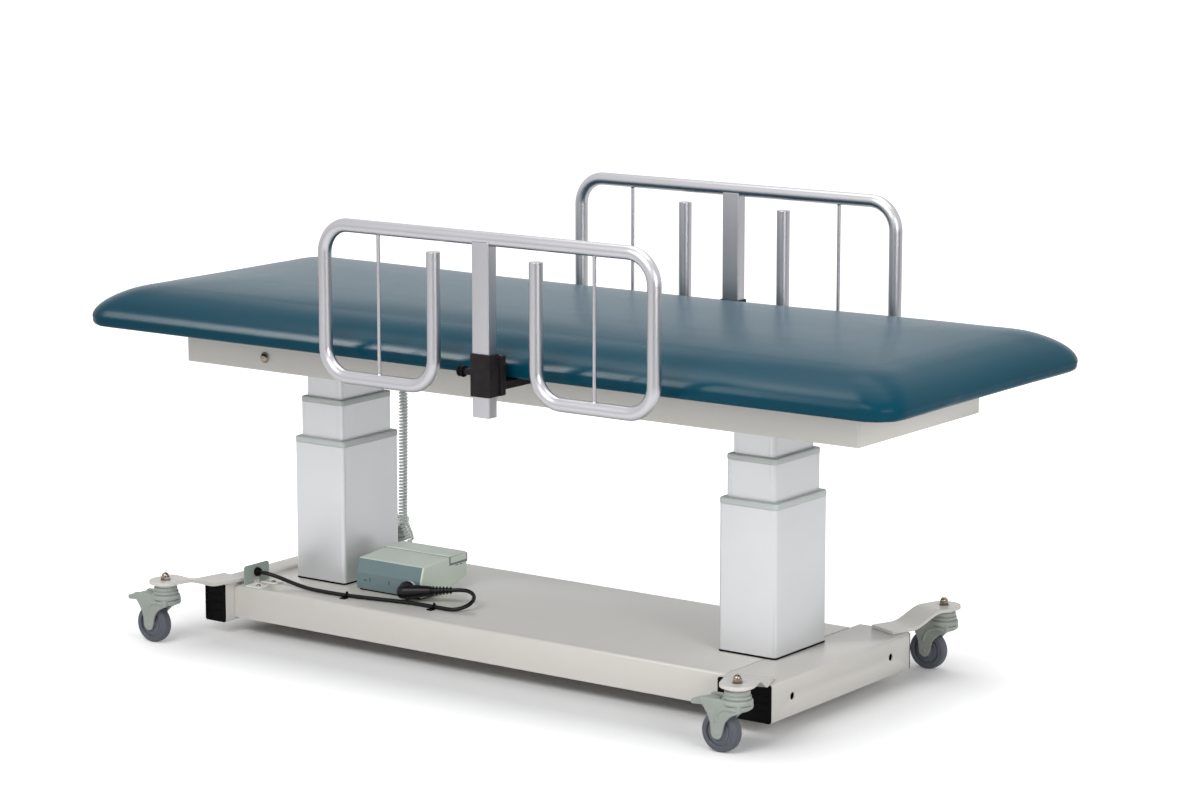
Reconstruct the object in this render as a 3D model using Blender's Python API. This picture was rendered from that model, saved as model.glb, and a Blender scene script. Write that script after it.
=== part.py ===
# Ultrasound table: a padded top on a folded skirt, two telescopic lift columns, side rails and casters.
# Metres, +Z up. The origin is on the floor under the middle of the top; +X runs along the top, -Y is near.

import math

import bmesh
import bpy
from mathutils import Matrix, Vector

# Clearances
SEAT_GAP = 0.0003
SLIDE_GAP = 0.0004

# Padded top
CUSHION_LENGTH = 1.854
CUSHION_WIDTH = 0.711
CUSHION_THICKNESS = 0.0735
CUSHION_CROWN = 0.0035
CUSHION_CORNER = 0.076
CUSHION_EDGE_REACH = 0.074
CUSHION_EDGE_FLATTEN = 1.18
CUSHION_UNDERCUT = 0.005
CUSHION_BELLY = 0.018
CUSHION_DRAW_IN = 0.003
CUSHION_CORNER_STEPS = 6
CUSHION_EDGE_STEPS = 6
CUSHION_SIDE_STEPS = 7

# Skirt frame under the top
SKIRT_LENGTH = 1.5615
SKIRT_MIDDLE_X = 0.00775
SKIRT_WIDTH = 0.422
SKIRT_HEIGHT = 0.076
SKIRT_SHEET = 0.003
SKIRT_LIP = 0.018
SKIRT_CORNER = 0.006
COLUMN_PLATE_LENGTH = 0.170
COLUMN_PLATE_SHEET = 0.006
COLUMN_PLATE_RISE = 0.022

# Lift columns
COLUMN_SPACING = 1.018
COLUMN_MIDDLE_X = -0.031
OUTER_LENGTH_X = 0.126
OUTER_WIDTH_Y = 0.174
MIDDLE_LENGTH_X = 0.1075
MIDDLE_WIDTH_Y = 0.154
INNER_LENGTH_X = 0.090
INNER_WIDTH_Y = 0.137
PROFILE_WALL = 0.004
OUTER_CORNER = 0.008
MIDDLE_CORNER = 0.007
INNER_CORNER = 0.006
OUTER_HEIGHT = 0.275
MIDDLE_SHOWN = 0.070
INNER_SHOWN = 0.071
OUTER_COLLAR_HEIGHT = 0.0112
MIDDLE_COLLAR_HEIGHT = 0.0100
COLLAR_LIP = 0.0008
COLLAR_CHAMFER = 0.0020
COLLAR_GUIDE_DEPTH = 0.030
STAGE_DROP = 0.065
STAGE_FLOOR_GAP = 0.008

# Lift actuators inside the columns
FOOT_PLATE_THICKNESS = 0.0025
FOOT_PLATE_MARGIN = 0.0008
ACTUATOR_SET_BACK = 0.030
ACTUATOR_TUBE_RADIUS = 0.0265
SLEEVE_RADIUS = 0.0225
ROD_RADIUS = 0.0180
ACTUATOR_TUBE_HEIGHT = 0.272
ACTUATOR_TUBE_FLOOR = 0.008
MOTOR_SIZE = (0.056, 0.058, 0.110)
MOTOR_SET_FORWARD = 0.031
MOTOR_CORNER = 0.012
ACTUATOR_SIDES = 16

# Base pan and cross tubes
PAN_TOP = 0.098
PAN_WIDTH = 0.426
PAN_DEPTH = 0.065
PAN_SHEET = 0.003
PAN_EDGE = 0.007
TUBE_LENGTH = 0.482
TUBE_BOTTOM = 0.026
TUBE_WALL = 0.003
TUBE_CORNER = 0.005
LEFT_TUBE_X = -0.6845
LEFT_TUBE_WIDTH = 0.053
LEFT_TUBE_RISE = 0.007
RIGHT_TUBE_X = 0.5745
RIGHT_TUBE_WIDTH = 0.115
END_HOLE_RADIUS = 0.0070
END_HOLE_SPACING = 0.340
END_HOLE_HEIGHT = 0.064
PLUG_FLANGE = 0.003
PLUG_BODY = 0.014
PLUG_RIM = 0.005
PLUG_POCKET = 0.0015

# Caster arms
ARM_WIDTH = 0.064
ARM_THICKNESS = 0.006
ARM_TOP = 0.129
CASTER_Y = 0.356
LEFT_CASTER_SET_OUT = 0.025
RIGHT_CASTER_SET_OUT = 0.062
LEFT_ARM_SPLAY = 11.0
RIGHT_ARM_SPLAY = 20.0
LEFT_ARM_REACH = 0.168
RIGHT_ARM_REACH = 0.150
ARM_UPPER_FLAT = 0.030
ARM_RAMP = 0.072
ARM_RAMP_STEPS = 5
ARM_TIP_STEPS = 6

# Casters
STUD_RADIUS = 0.0050
STUD_DEPTH = 0.026
NUT_RADIUS = 0.0100
NUT_HEIGHT = 0.0150
WHEEL_RADIUS = 0.0375
WHEEL_WIDTH = 0.0235
WHEEL_TRAIL = 0.032
WHEEL_SIDES = 20
AXLE_RADIUS = 0.0040
HOUSING_RADIUS = 0.0280
HOUSING_HEAD_RADIUS = 0.0228
HOUSING_HEIGHT = 0.0425
CHEEK_OVERLAP = 0.0175
CHEEK_GAP = 0.0020
CHEEK_FOOT_RADIUS = 0.0115
PEDAL_LENGTH = 0.043
PEDAL_PIVOT_BACK = 0.050
PEDAL_PIVOT_DROP = 0.033
PEDAL_THICKNESS = 0.010

# Side rails
RAIL_X = 0.120
RAIL_STANDOFF = 0.0465
RAIL_TUBE_RADIUS = 0.0127
RAIL_LENGTH = 0.740
RAIL_HEIGHT = 0.283
RAIL_BEND = 0.055
RAIL_BEND_STEPS = 5
RAIL_TUBE_SIDES = 10
RAIL_UPRIGHT_SPACING = 0.231
RAIL_UPRIGHT_GAP = 0.033
RAIL_RISE = 0.2074
FAR_RAIL_LIFT = 0.010
RAIL_ROD_RADIUS = 0.0035
POST_LENGTH_X = 0.0381
POST_WIDTH_Y = 0.0254
POST_WALL = 0.0025
POST_CORNER = 0.0030
POST_TAIL = 0.038

# Rail sockets and plungers
SOCKET_WALL = 0.0027
SOCKET_HEIGHT = 0.078
SOCKET_DROP = 0.0092
SOCKET_CORNER = 0.004
BACK_BLOCK_DEPTH = 0.013
BACK_BLOCK_EXTRA = 0.004
ARM_BAR_WIDTH = 0.040
ARM_BAR_HEIGHT = 0.014
ARM_BAR_INSET = 0.003
BARREL_RADIUS = 0.0060
BARREL_LENGTH = 0.020
BARREL_HEIGHT = 0.041
PIN_RADIUS = 0.0040
KNOB_RADIUS = 0.0110
KNOB_LENGTH = 0.016

# Control box on the pan
BOX_LENGTH = 0.165
BOX_LEFT_X = -0.437
BOX_FRONT_Y = -0.100
BOX_DEPTH = 0.147
BOX_FRONT_HEIGHT = 0.036
BOX_SHOULDER_HEIGHT = 0.064
BOX_SHOULDER_BACK = 0.009
BOX_LID_Y = 0.090
BOX_LID_STEP = 0.003
BOX_REAR_HEIGHT = 0.073
BOX_UNDERCUT = 0.024
BOX_UNDERCUT_DEPTH = 0.070
BOX_EDGE = 0.005
INLET_X = -0.300
INLET_HEIGHT = 0.0185
INLET_RADIUS = 0.0165
INLET_DEPTH = 0.0045
CORD_SOCKET_X = -0.385
CORD_SOCKET_HEIGHT = 0.048
CORD_SOCKET_RADIUS = 0.006
CORD_SOCKET_LENGTH = 0.010

# Lead, plug, gland and bracket
LEAD_RADIUS = 0.0040
PLUG_HEAD_RADIUS = 0.0165
PLUG_HEAD_DEPTH = 0.009
PLUG_NECK_RADIUS = 0.0130
PLUG_NECK_DEPTH = 0.031
PLUG_TAIL_SET_OUT = 0.021
PLUG_TAIL_VECTOR = (0.095, 0.038, 0.009)
PLUG_TAIL_RADIUS = 0.0105
BRACKET_X = -0.634
BRACKET_EDGE_INSET = 0.002
BRACKET_WIDTH = 0.074
BRACKET_HEIGHT = 0.040
BRACKET_SHEET = 0.002
BRACKET_FOOT_LENGTH = 0.041
BRACKET_FOOT_WIDTH = 0.028
BRACKET_NOTCH_HEIGHT = 0.012
GLAND_HEIGHT = 0.0235
GLAND_NECK_RADIUS = 0.0065
GLAND_HEAD_RADIUS = 0.0092
GLAND_HEAD_LENGTH = 0.010
GLAND_NUT_LENGTH = 0.005
GLAND_SIDES = 12

# Hand control and curly cord
HANDSET_X = -0.578
HANDSET_WIDTH = 0.048
HANDSET_DEPTH = 0.024
HANDSET_LENGTH = 0.100
HANDSET_CORNER = 0.008
HANDSET_DROP = 0.004
HANDSET_BOSS_RADIUS = 0.0050
HANDSET_BOSS_LENGTH = 0.012
BUTTON_RADIUS = 0.0080
BUTTON_SPACING = 0.026
BUTTON_STAND = 0.0020
BUTTON_TRAVEL = 0.0015
BUTTON_SKIRT = 0.0020
CURLY_CORD_RADIUS = 0.0021
CURL_RADIUS = 0.0070
CURL_COUNT = 38
CURL_POINTS = 8

# Heights that follow from the stack of pieces
FOOT_TOP = PAN_TOP + SEAT_GAP + FOOT_PLATE_THICKNESS
OUTER_BOTTOM = FOOT_TOP + SEAT_GAP
OUTER_TOP = OUTER_BOTTOM + OUTER_HEIGHT
OUTER_COLLAR_TOP = OUTER_TOP + SEAT_GAP + OUTER_COLLAR_HEIGHT
MIDDLE_TOP = OUTER_COLLAR_TOP + MIDDLE_SHOWN
MIDDLE_COLLAR_TOP = MIDDLE_TOP + SEAT_GAP + MIDDLE_COLLAR_HEIGHT
SKIRT_BOTTOM = MIDDLE_COLLAR_TOP + INNER_SHOWN
SKIRT_TOP = SKIRT_BOTTOM + SKIRT_HEIGHT
COLUMN_PLATE_BOTTOM = SKIRT_BOTTOM + COLUMN_PLATE_RISE
INNER_TOP = COLUMN_PLATE_BOTTOM - SEAT_GAP
MIDDLE_BOTTOM = FOOT_TOP + STAGE_FLOOR_GAP + STAGE_DROP
INNER_BOTTOM = FOOT_TOP + STAGE_FLOOR_GAP + 2 * STAGE_DROP
LEFT_TUBE_TOP = PAN_TOP + LEFT_TUBE_RISE
LEFT_CASTER_X = LEFT_TUBE_X - LEFT_CASTER_SET_OUT
RIGHT_CASTER_X = RIGHT_TUBE_X + RIGHT_CASTER_SET_OUT
ARM_BAR_TOP = SKIRT_TOP - ARM_BAR_INSET
SOCKET_BOTTOM = ARM_BAR_TOP - ARM_BAR_HEIGHT - SOCKET_DROP
SOCKET_TOP = SOCKET_BOTTOM + SOCKET_HEIGHT
RAIL_TOP = SOCKET_TOP + RAIL_RISE
RAIL_PLANE = CUSHION_WIDTH / 2 + RAIL_STANDOFF
SOCKET_LENGTH_X = POST_LENGTH_X + 2 * (SLIDE_GAP + SOCKET_WALL)
SOCKET_WIDTH_Y = POST_WIDTH_Y + 2 * (SLIDE_GAP + SOCKET_WALL)
FORK_TOP = ARM_TOP - ARM_THICKNESS - SLIDE_GAP
FORK_BOTTOM = FORK_TOP - HOUSING_HEIGHT
CHEEK_INSIDE = WHEEL_WIDTH / 2 + CHEEK_GAP
HANDSET_TOP = SKIRT_TOP - HANDSET_DROP
HANDSET_Y = SKIRT_WIDTH / 2 + SEAT_GAP + HANDSET_DEPTH / 2
PLUG_Y = BOX_FRONT_Y - INLET_DEPTH - SEAT_GAP
INLET_Z = PAN_TOP + SEAT_GAP + INLET_HEIGHT
GLAND_Z = PAN_TOP + SEAT_GAP + GLAND_HEIGHT
BRACKET_Y = BRACKET_EDGE_INSET + BRACKET_WIDTH / 2 - PAN_WIDTH / 2


def clear_scene():
    for obj in list(bpy.data.objects):
        bpy.data.objects.remove(obj)


def finish(name, colour, roughness, metallic=0.0):
    material = bpy.data.materials.new(name)
    material.use_nodes = True
    shader = material.node_tree.nodes["Principled BSDF"]
    shader.inputs["Base Color"].default_value = (*colour, 1.0)
    shader.inputs["Roughness"].default_value = roughness
    shader.inputs["Metallic"].default_value = metallic
    return material


# Mesh helpers

def loft(rings, looped=False):
    """Skin a list of point rings; the end rings are capped unless the skin closes on itself."""
    bm = bmesh.new()
    loops = [[bm.verts.new(point) for point in ring] for ring in rings]
    pairs = list(zip(loops, loops[1:]))
    if looped:
        pairs.append((loops[-1], loops[0]))
    for low, high in pairs:
        for i in range(len(low)):
            j = (i + 1) % len(low)
            bm.faces.new((low[i], low[j], high[j], high[i]))
    if not looped:
        bm.faces.new(loops[0][::-1])
        bm.faces.new(loops[-1])
    bmesh.ops.remove_doubles(bm, verts=bm.verts, dist=1e-6)
    bmesh.ops.recalc_face_normals(bm, faces=bm.faces)
    return bm


def rounded_rect(length, width, radius, steps=3):
    points = []
    for quarter in range(4):
        side_x = 1 if quarter in (0, 3) else -1
        side_y = 1 if quarter in (0, 1) else -1
        for step in range(steps + 1):
            angle = (quarter + step / steps) * math.pi / 2
            x = side_x * (length / 2 - radius) + radius * math.cos(angle)
            y = side_y * (width / 2 - radius) + radius * math.sin(angle)
            points.append((x, y))
    return points


def at_height(outline, z):
    return [(x, y, z) for x, y in outline]


def prism(outline, low, high):
    return loft([at_height(outline, low), at_height(outline, high)])


def pipe(outer, inner, low, high):
    rings = [at_height(outer, low), at_height(outer, high), at_height(inner, high), at_height(inner, low)]
    return loft(rings, looped=True)


def turned(profile, sides, looped=False):
    """Spin (radius, height) points about Z, with a flat facet facing along each axis."""
    rings = []
    for radius, height in profile:
        angles = [2 * math.pi * (step + 0.5) / sides for step in range(sides)]
        rings.append([(radius * math.cos(a), radius * math.sin(a), height) for a in angles])
    return loft(rings, looped)


def swept(points, radius, sides):
    """Round bar along a path, its section carried along without twist."""
    path = [Vector(point) for point in points]
    normal = None
    rings = []
    for i, point in enumerate(path):
        ahead = (path[min(i + 1, len(path) - 1)] - path[max(i - 1, 0)]).normalized()
        if normal is None:
            normal = ahead.orthogonal()
        normal = (normal - ahead * normal.dot(ahead)).normalized()
        across = ahead.cross(normal)
        ring = []
        for step in range(sides):
            angle = 2 * math.pi * (step + 0.5) / sides
            ring.append(point + radius * (normal * math.cos(angle) + across * math.sin(angle)))
        rings.append(ring)
    return loft(rings)


def bent_path(corners, radius, steps):
    """Straight runs between corners, each corner rounded by an arc."""
    points = [corners[0]]
    for before, corner, after in zip(corners, corners[1:], corners[2:]):
        into = (corner - before).normalized()
        out = (after - corner).normalized()
        turn = into.angle(out)
        start = corner - into * radius * math.tan(turn / 2)
        inward = (out - into * out.dot(into)).normalized()
        centre = start + inward * radius
        axis = into.cross(out).normalized()
        for step in range(steps + 1):
            spin = Matrix.Rotation(turn * step / steps, 3, axis)
            points.append(centre + spin @ (start - centre))
    points.append(corners[-1])
    return points


def smooth_route(points, spacing):
    """Evenly spaced points on a smooth curve through the given ones."""
    knots = [Vector(point) for point in points]
    knots = [2 * knots[0] - knots[1]] + knots + [2 * knots[-1] - knots[-2]]
    dense = []
    fine_steps = 24
    for a, b, c, d in zip(knots, knots[1:], knots[2:], knots[3:]):
        for step in range(fine_steps):
            t = step / fine_steps
            curve = 2 * b + (c - a) * t + (2 * a - 5 * b + 4 * c - d) * t ** 2
            dense.append(0.5 * (curve + (3 * b - a - 3 * c + d) * t ** 3))
    dense.append(knots[-2])
    lengths = [0.0]
    for p, q in zip(dense, dense[1:]):
        lengths.append(lengths[-1] + (q - p).length)
    count = max(2, round(lengths[-1] / spacing))
    route = []
    for i in range(count + 1):
        target = lengths[-1] * i / count
        k = next(n for n in range(1, len(lengths)) if lengths[n] >= target - 1e-9)
        share = (target - lengths[k - 1]) / (lengths[k] - lengths[k - 1])
        route.append(dense[k - 1].lerp(dense[k], share))
    return route


def place(name, bm, material, location=(0, 0, 0), turn=None):
    if turn is not None:
        bmesh.ops.transform(bm, matrix=turn, verts=bm.verts)
    mesh = bpy.data.meshes.new(name)
    bm.to_mesh(mesh)
    bm.free()
    mesh.materials.append(material)
    return place_mesh(name, mesh, location)


def place_mesh(name, mesh, location):
    mesh.shade_smooth()
    mesh.set_sharp_from_angle(angle=math.radians(35))
    obj = bpy.data.objects.new(name, mesh)
    obj.location = location
    bpy.context.scene.collection.objects.link(obj)
    return obj


def combine(obj, bm, operation):
    """Join a shape to an object, or cut it away; the shape shares the object's place."""
    tool = place(obj.name + "_tool", bm, obj.data.materials[0], obj.location)
    modifier = obj.modifiers.new(operation, "BOOLEAN")
    modifier.operation = operation
    modifier.object = tool
    bpy.context.view_layer.update()
    evaluated = obj.evaluated_get(bpy.context.evaluated_depsgraph_get())
    mesh = bpy.data.meshes.new_from_object(evaluated)
    obj.modifiers.remove(modifier)
    obj.data = mesh
    bpy.data.objects.remove(tool)
    mesh.shade_smooth()
    mesh.set_sharp_from_angle(angle=math.radians(35))


def moved(bm, x=0.0, y=0.0, z=0.0):
    bmesh.ops.translate(bm, vec=(x, y, z), verts=bm.verts)
    return bm


def spun(bm, degrees, axis):
    bmesh.ops.transform(bm, matrix=Matrix.Rotation(math.radians(degrees), 4, axis), verts=bm.verts)
    return bm


def block(low, high):
    outline = [(low[0], low[1]), (high[0], low[1]), (high[0], high[1]), (low[0], high[1])]
    return prism(outline, low[2], high[2])


# Base pan, cross tubes and end plugs

def make_base_pan(paint):
    left = LEFT_TUBE_X + LEFT_TUBE_WIDTH / 2 + SEAT_GAP
    right = RIGHT_TUBE_X - RIGHT_TUBE_WIDTH / 2 - SEAT_GAP
    outline = []
    for inset, order in ((0.0, 1), (PAN_SHEET, -1)):
        half = PAN_WIDTH / 2 - inset
        radius = PAN_EDGE - inset
        top = PAN_TOP - inset
        wall = [(-half, PAN_TOP - PAN_DEPTH)]
        for side, start in ((-1, math.pi), (1, math.pi / 2)):
            for step in range(4):
                angle = start - math.pi / 2 * step / 3
                y = side * (half - radius) + radius * math.cos(angle)
                wall.append((y, top - radius + radius * math.sin(angle)))
        wall.append((half, PAN_TOP - PAN_DEPTH))
        outline += wall[::order]
    rings = [[(x, y, z) for y, z in outline] for x in (left, right)]
    place("base_pan", loft(rings), paint)


def tube_section(width, top, inset, y):
    middle = (top + TUBE_BOTTOM) / 2
    height = top - TUBE_BOTTOM
    radius = max(TUBE_CORNER - inset, TUBE_CORNER / 4)
    section = rounded_rect(width - 2 * inset, height - 2 * inset, radius)
    return [(x, y, middle + z) for x, z in section]


def make_cross_tube(name, x, width, top, paint):
    half = TUBE_LENGTH / 2 - PLUG_FLANGE - SEAT_GAP
    rings = []
    for inset, y in ((0.0, -half), (0.0, half), (TUBE_WALL, half), (TUBE_WALL, -half)):
        rings.append(tube_section(width, top, inset, y))
    return place(name, loft(rings, looped=True), paint, (x, 0, 0))


def cut_end_holes(tube):
    for side in (-1, 1):
        drill = turned([(0, -2 * TUBE_WALL), (END_HOLE_RADIUS, -2 * TUBE_WALL),
                        (END_HOLE_RADIUS, 2 * TUBE_WALL), (0, 2 * TUBE_WALL)], 12)
        spun(drill, 90, "Y")
        moved(drill, RIGHT_TUBE_WIDTH / 2, side * END_HOLE_SPACING / 2, END_HOLE_HEIGHT)
        combine(tube, drill, "DIFFERENCE")


def make_end_plug(name, x, width, top, side, plastic):
    face = TUBE_LENGTH / 2
    back = face - PLUG_FLANGE
    flange_edge = PLUG_FLANGE / 6
    stations = [
        (PLUG_RIM, face - PLUG_POCKET),
        (PLUG_RIM, face),
        (flange_edge, face),
        (flange_edge, back),
        (TUBE_WALL + SEAT_GAP, back),
        (TUBE_WALL + SEAT_GAP, back - PLUG_BODY),
    ]
    rings = [tube_section(width, top, inset, side * y) for inset, y in stations]
    place(name, loft(rings), plastic, (x, 0, 0))


# Caster arms: flat bar, joggled up from the tube to the caster, with a round tip

def make_caster_arm(name, x, side, splay, reach, seat, paint):
    seat_bottom = seat + SEAT_GAP
    raised_bottom = ARM_TOP - ARM_THICKNESS
    stations = [(-reach, ARM_WIDTH / 2, seat_bottom)]
    for step in range(ARM_RAMP_STEPS + 1):
        share = step / ARM_RAMP_STEPS
        rise = share * share * (3 - 2 * share)
        along = -ARM_UPPER_FLAT - ARM_RAMP * (1 - share)
        stations.append((along, ARM_WIDTH / 2, seat_bottom + (raised_bottom - seat_bottom) * rise))
    for step in range(ARM_TIP_STEPS + 1):
        angle = math.pi / 2 * step / ARM_TIP_STEPS
        along = ARM_WIDTH / 2 * math.sin(angle)
        stations.append((along, ARM_WIDTH / 2 * math.cos(angle), raised_bottom))
    rings = []
    for along, half, z in stations:
        rings.append([(-half, along, z), (half, along, z), (half, along, z + ARM_THICKNESS),
                      (-half, along, z + ARM_THICKNESS)])
    arm = loft(rings)
    outward = 1 if x > 0 else -1
    spun(arm, -outward * splay, "Z")
    if side < 0:
        bmesh.ops.scale(arm, vec=(1, -1, 1), verts=arm.verts)
        bmesh.ops.recalc_face_normals(arm, faces=arm.faces)
    obj = place(name, arm, paint, (x, side * CASTER_Y, 0))
    radius = STUD_RADIUS + SEAT_GAP
    low = raised_bottom - ARM_THICKNESS
    high = ARM_TOP + ARM_THICKNESS
    combine(obj, turned([(0, low), (radius, low), (radius, high), (0, high)], 12), "DIFFERENCE")


# Casters

def make_dome_nut(name, x, side, chrome):
    base = ARM_TOP + SEAT_GAP
    skirt = base + 0.35 * NUT_HEIGHT
    profile = [
        (0, ARM_TOP - STUD_DEPTH),
        (STUD_RADIUS, ARM_TOP - STUD_DEPTH),
        (STUD_RADIUS, base),
        (NUT_RADIUS, base),
        (NUT_RADIUS, skirt),
    ]
    dome = 0.86 * NUT_RADIUS
    for step in range(4):
        angle = math.pi / 2 * step / 3
        profile.append((dome * math.cos(angle), skirt + (base + NUT_HEIGHT - skirt) * math.sin(angle)))
    place(name, turned(profile, 12), chrome, (x, side * CASTER_Y, 0))


def cheek(side):
    """One fork leg, lofted from the axle foot up to the swivel housing, flaring outwards as it rises."""
    foot_x = -WHEEL_TRAIL
    axle = WHEEL_RADIUS
    foot = CHEEK_FOOT_RADIUS
    rise = FORK_BOTTOM + CHEEK_OVERLAP - axle
    wall = 0.0045
    stations = [
        (-foot, 0.35 * foot, 0.35 * foot, 0.0),
        (-0.65 * foot, 0.76 * foot, 0.76 * foot, 0.0),
        (0.0, foot, foot, 0.0),
        (0.20 * rise, 1.10 * foot, 1.08 * foot, 0.0004),
        (0.42 * rise, 1.35 * foot, 1.40 * foot, 0.0012),
        (0.60 * rise, 1.70 * foot, 2.10 * foot, 0.0024),
        (0.74 * rise, 2.15 * foot, 3.20 * foot, 0.0036),
        (0.88 * rise, 2.65 * foot, 3.95 * foot, 0.0045),
        (rise, 2.95 * foot, 4.05 * foot, 0.0050),
    ]
    rings = []
    for height, behind, ahead, flare in stations:
        inside = side * CHEEK_INSIDE
        outside = side * (CHEEK_INSIDE + wall + flare)
        z = axle + height
        rings.append([(foot_x - behind, inside, z), (foot_x + ahead, inside, z),
                      (foot_x + ahead, outside, z), (foot_x - behind, outside, z)])
    return loft(rings)


def fork_mesh(plastic):
    bore = STUD_RADIUS + SEAT_GAP
    bore_floor = ARM_TOP - STUD_DEPTH - SEAT_GAP
    drop = HOUSING_HEIGHT
    profile = [
        (0, bore_floor),
        (bore, bore_floor),
        (bore, FORK_TOP),
        (HOUSING_HEAD_RADIUS - 0.0015, FORK_TOP),
        (HOUSING_HEAD_RADIUS, FORK_TOP - 0.10 * drop),
        (HOUSING_HEAD_RADIUS, FORK_TOP - 0.28 * drop),
        (0.90 * HOUSING_RADIUS, FORK_TOP - 0.36 * drop),
        (HOUSING_RADIUS, FORK_TOP - 0.50 * drop),
        (HOUSING_RADIUS, FORK_TOP - 0.72 * drop),
        (0.86 * HOUSING_RADIUS, FORK_BOTTOM),
        (0, FORK_BOTTOM),
    ]
    fork = place("fork_shape", turned(profile, 18), plastic)
    for side in (-1, 1):
        combine(fork, cheek(side), "UNION")
    reach = CHEEK_INSIDE + 0.003
    axle = turned([(0, -reach), (AXLE_RADIUS, -reach), (AXLE_RADIUS, reach), (0, reach)], 10)
    spun(axle, 90, "X")
    combine(fork, moved(axle, -WHEEL_TRAIL, 0, WHEEL_RADIUS), "UNION")
    mesh = fork.data
    bpy.data.objects.remove(fork)
    return mesh


def wheel_mesh(rubber):
    half = WHEEL_WIDTH / 2
    bore = AXLE_RADIUS + SLIDE_GAP
    side = [
        (bore, half),
        (0.34 * WHEEL_RADIUS, half),
        (0.37 * WHEEL_RADIUS, 0.76 * half),
        (0.62 * WHEEL_RADIUS, 0.76 * half),
        (0.67 * WHEEL_RADIUS, half),
        (0.91 * WHEEL_RADIUS, 0.90 * half),
        (WHEEL_RADIUS / math.cos(math.pi / WHEEL_SIDES), 0.45 * half),
    ]
    profile = side + [(radius, -y) for radius, y in side[::-1]]
    wheel = turned(profile, WHEEL_SIDES, looped=True)
    spun(wheel, 90, "X")
    mesh = bpy.data.meshes.new("wheel_shape")
    wheel.to_mesh(mesh)
    wheel.free()
    mesh.materials.append(rubber)
    return mesh


def pedal_mesh(plastic):
    """Brake lever between the fork cheeks, sloping down to a rounded tip; origin on its pivot."""
    thick = PEDAL_THICKNESS
    half = CHEEK_INSIDE - SEAT_GAP
    tail = PEDAL_LENGTH
    stations = [
        (0.011, 0.000, 1.00, 1.00),
        (0.000, 0.001, 1.10, 1.00),
        (-0.30 * tail, -0.0005, 1.05, 1.00),
        (-0.72 * tail, -0.003, 0.95, 1.00),
        (-0.93 * tail, -0.005, 0.90, 0.92),
        (-tail, -0.006, 0.70, 0.75),
    ]
    rings = []
    for x, z, height, width in stations:
        y = half * width
        h = thick * height / 2
        rings.append([(x, -y, z - h), (x, y, z - h), (x, y, z + h), (x, 0.5 * y, z + 1.15 * h),
                      (x, -0.5 * y, z + 1.15 * h), (x, -y, z + h)])
    lever = loft(rings)
    mesh = bpy.data.meshes.new("pedal_shape")
    lever.to_mesh(mesh)
    lever.free()
    mesh.materials.append(plastic)
    return mesh


# Lift columns

def column_outline(length, width, corner, inset=0.0, steps=3):
    radius = max(corner - inset, corner / 4)
    return rounded_rect(length - 2 * inset, width - 2 * inset, radius, steps)


def make_profile(name, x, length, width, corner, low, high, metal):
    outer = column_outline(length, width, corner)
    inner = column_outline(length, width, corner, PROFILE_WALL)
    place(name, pipe(outer, inner, low, high), metal, (x, 0, 0))


def make_collar(name, x, around, through, low, height, plastic):
    """Guide collar: a lip on the stage below, a liner inside it, and an opening for the stage above."""
    top = low + height
    foot = low - COLLAR_GUIDE_DEPTH
    lip = column_outline(*around, -COLLAR_LIP)
    lip_edge = column_outline(*around, COLLAR_CHAMFER - COLLAR_LIP)
    liner = column_outline(*around, PROFILE_WALL + SEAT_GAP)
    opening = column_outline(*through, -SLIDE_GAP)
    rings = [
        at_height(lip, low),
        at_height(lip, top - COLLAR_CHAMFER),
        at_height(lip_edge, top),
        at_height(opening, top),
        at_height(opening, foot),
        at_height(liner, foot),
        at_height(liner, low),
    ]
    place(name, loft(rings, looped=True), plastic, (x, 0, 0))


def make_actuator(side_name, x, body, steel):
    foot_low = PAN_TOP + SEAT_GAP
    plate = column_outline(OUTER_LENGTH_X, OUTER_WIDTH_Y, OUTER_CORNER, -FOOT_PLATE_MARGIN)
    base = place(side_name + "_actuator_base", prism(plate, foot_low, FOOT_TOP), body, (x, 0, 0))
    seat = FOOT_TOP - FOOT_PLATE_THICKNESS / 2
    length, width, height = MOTOR_SIZE
    motor = prism(rounded_rect(length, width, MOTOR_CORNER), seat, FOOT_TOP + height)
    combine(base, moved(motor, 0, -MOTOR_SET_FORWARD), "UNION")
    bore = SLEEVE_RADIUS + SLIDE_GAP
    floor = FOOT_TOP + ACTUATOR_TUBE_FLOOR
    tube_top = FOOT_TOP + ACTUATOR_TUBE_HEIGHT
    tube = turned([(0, floor), (bore, floor), (bore, tube_top), (ACTUATOR_TUBE_RADIUS, tube_top),
                   (ACTUATOR_TUBE_RADIUS, seat), (0, seat)], ACTUATOR_SIDES)
    combine(base, moved(tube, 0, ACTUATOR_SET_BACK), "UNION")

    sleeve_low = floor + SEAT_GAP + STAGE_DROP
    sleeve_high = INNER_TOP - STAGE_DROP - STAGE_FLOOR_GAP
    inside = ROD_RADIUS + SLIDE_GAP
    sleeve = turned([(inside, sleeve_low), (inside, sleeve_high), (SLEEVE_RADIUS, sleeve_high),
                     (SLEEVE_RADIUS, sleeve_low)], ACTUATOR_SIDES, looped=True)
    place(side_name + "_actuator_sleeve", sleeve, steel, (x, ACTUATOR_SET_BACK, 0))

    rod_low = floor + SEAT_GAP + 2 * STAGE_DROP
    rod = turned([(0, rod_low), (ROD_RADIUS, rod_low), (ROD_RADIUS, INNER_TOP), (0, INNER_TOP)], ACTUATOR_SIDES)
    place(side_name + "_actuator_rod", rod, steel, (x, ACTUATOR_SET_BACK, 0))


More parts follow.
